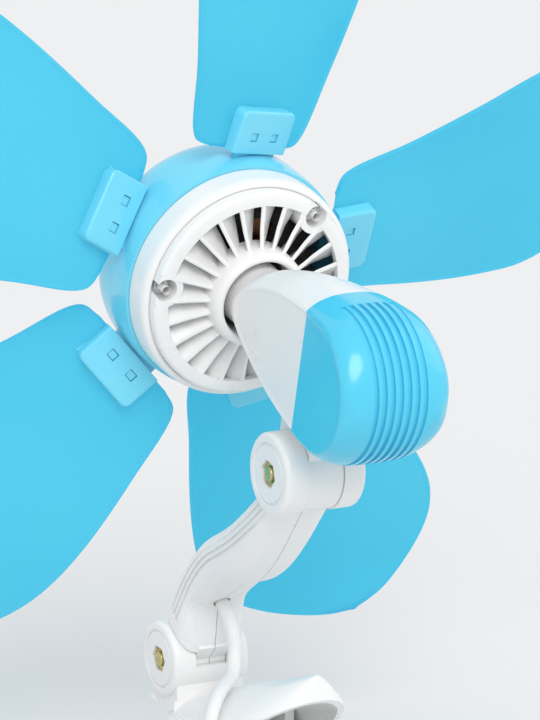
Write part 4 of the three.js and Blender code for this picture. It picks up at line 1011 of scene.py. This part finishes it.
def hinge_lug(x0, x1, low, high):
    """Ear that the hinge pin passes through, from one height to another."""
    shapes = [rod("X", LUG_RADIUS, x0, x1, *PIN, 64), block(x0, x1, 16.7, 28.7, low, high)]
    lug = new_piece("lug", *gathered(shapes))
    return cut(lug, new_piece("tool", *rod("X", PIN_BORE, x0 - 1, x1 + 1, *PIN, 48)))


def add_clip_upper():
    """Crown with the low knuckle's bracket, hollow behind the jaw."""
    y, z = KNUCKLE
    upper = new_piece("clip_upper_fine", *crown_shape(0))
    rim_start = 4.2 + (22 - 7.7) / 0.7
    keep = [(-60, 22), (rim_start, 22), (120, 7.7 + 0.7 * 115.8), (120, 130), (-60, 130)]
    cut(upper, new_piece("tool", *plate_x(keep, -40, 40)), "INTERSECT")
    ears = rod("X", LOW_EAR_RADIUS, -KNUCKLE_HALF_WIDTH, KNUCKLE_HALF_WIDTH, y, z, 128)
    bracket = new_piece("bracket", *ears)
    cut(bracket, new_piece("tool", *block(-16.4, 16.4, y - 9, y + 13, 37.7, z - 4)), "UNION")
    slot = [block(-7.5, 7.5, y - 30, y + 30, z - 1, z + 30), rod("X", 12.9, -7.5, 7.5, y, z, 96)]
    cut(bracket, new_piece("tool", *gathered(slot)))
    cut(upper, bracket, "UNION")
    hollow = [(-60, 25), (JAW_BACK, 25), (JAW_BACK, 0), (120, 0), (120, 130), (-60, 130)]
    cavity = new_piece("cavity", *crown_shape(CLIP_WALL))
    cut(cavity, new_piece("tool", *plate_x(hollow, -40, 40)), "INTERSECT")
    cut(upper, cavity)
    faces = ear_tools(1, LOW_EAR_RADIUS, y, z) + ear_tools(-1, LOW_EAR_RADIUS, y, z)
    cut(upper, new_piece("tool", *gathered(faces)))
    for x0, x1 in ((17, 21), (-21, -17)):
        cut(upper, hinge_lug(x0, x1, 21, 44), "UNION")
    shade(upper, 32)
    finish_piece(upper, "clip_body", WHITE, "white_plastic", "clip_upper")


def clip_plan(inset, sides=128):
    ring = []
    for k in range(4 * sides):
        angle = math.pi * k / (2 * sides)
        x, y = super_point(angle, CLIP_WIDTH - inset, CLIP_LENGTH - inset, CLIP_POWER)
        ring.append((x, y + CLIP_Y))
    return even(ring, sides)


def add_clip_lower():
    """Tray of the lower handle with a solid jaw at its front."""
    levels = [
        (0, 2.4), (0.25, 1.5), (0.8, 0.8), (1.6, 0.35), (3, 0.15), (15.2, 0), (15.75, 0.15),
        (16, 0.5),
    ]
    shell = loft([[(x, y, z) for x, y in clip_plan(inset)] for z, inset in levels])
    lower = new_piece("clip_lower_fine", *shell)
    tray = new_piece("tray", *plate_z(clip_plan(CLIP_WALL), CLIP_WALL, 21))
    cut(tray, new_piece("tool", *block(-40, 40, -60, JAW_BACK, 13.4, 22)))
    cut(lower, tray)
    for x0, x1 in ((12.4, 16.6), (-16.6, -12.4)):
        cut(lower, hinge_lug(x0, x1, 1.2, 21), "UNION")
    shade(lower, 32)
    finish_piece(lower, "clip_jaw", WHITE, "white_plastic", "clip_lower")


add_neck()
add_tail()
add_blades()
add_cowl()
add_cover()
add_arm()
add_clip_upper()
add_clip_lower()


# ---------------------------------------------------------------- pieces in the model's shape
for i in (1, 2, 3):
    smooth_copy(f"cover_screw_{i}", STEEL, "steel")
BARE_STEEL = (
    "front_bearing", "rear_bearing", "motor_shaft", "clip_pin", "clip_spring", "stator_core",
)
FASTENERS = (
    "shaft_nut", "top_knuckle_bolt", "top_knuckle_nut", "low_knuckle_bolt", "low_knuckle_nut",
)
for node in BARE_STEEL:
    smooth_copy(node, STEEL, "steel")
for node in ("rotor_can", "rotor_end_cap"):
    smooth_copy(node, BLACK, "motor_black")
for node in ("rear_winding", "front_winding"):
    smooth_copy(node, COPPER, "copper_wire")
for node in FASTENERS:
    smooth_copy(node, BRASS, "brass", bevel=0.3)
smooth_copy("run_capacitor", DARK, "dark_plastic", bevel=1)
for node in ("upper_jaw_pad", "lower_jaw_pad"):
    smooth_copy(node, RUBBER, "pad_rubber", bevel=0.4)
for node in ("switch_base", "switch_cover"):
    smooth_copy(node, WHITE, "white_plastic", bevel=0.5)
smooth_copy("coil_strap", WHITE, "white_plastic", bevel=0.25)
smooth_copy("plug_body", WHITE, "white_plastic")
for node in ("plug_prong_left", "plug_prong_right"):
    smooth_copy(node, STEEL, "steel")
smooth_copy("switch_rocker", BLUE, "blue_plastic", bevel=0.4)


# ---------------------------------------------------------------- finish
bpy.context.view_layer.update()
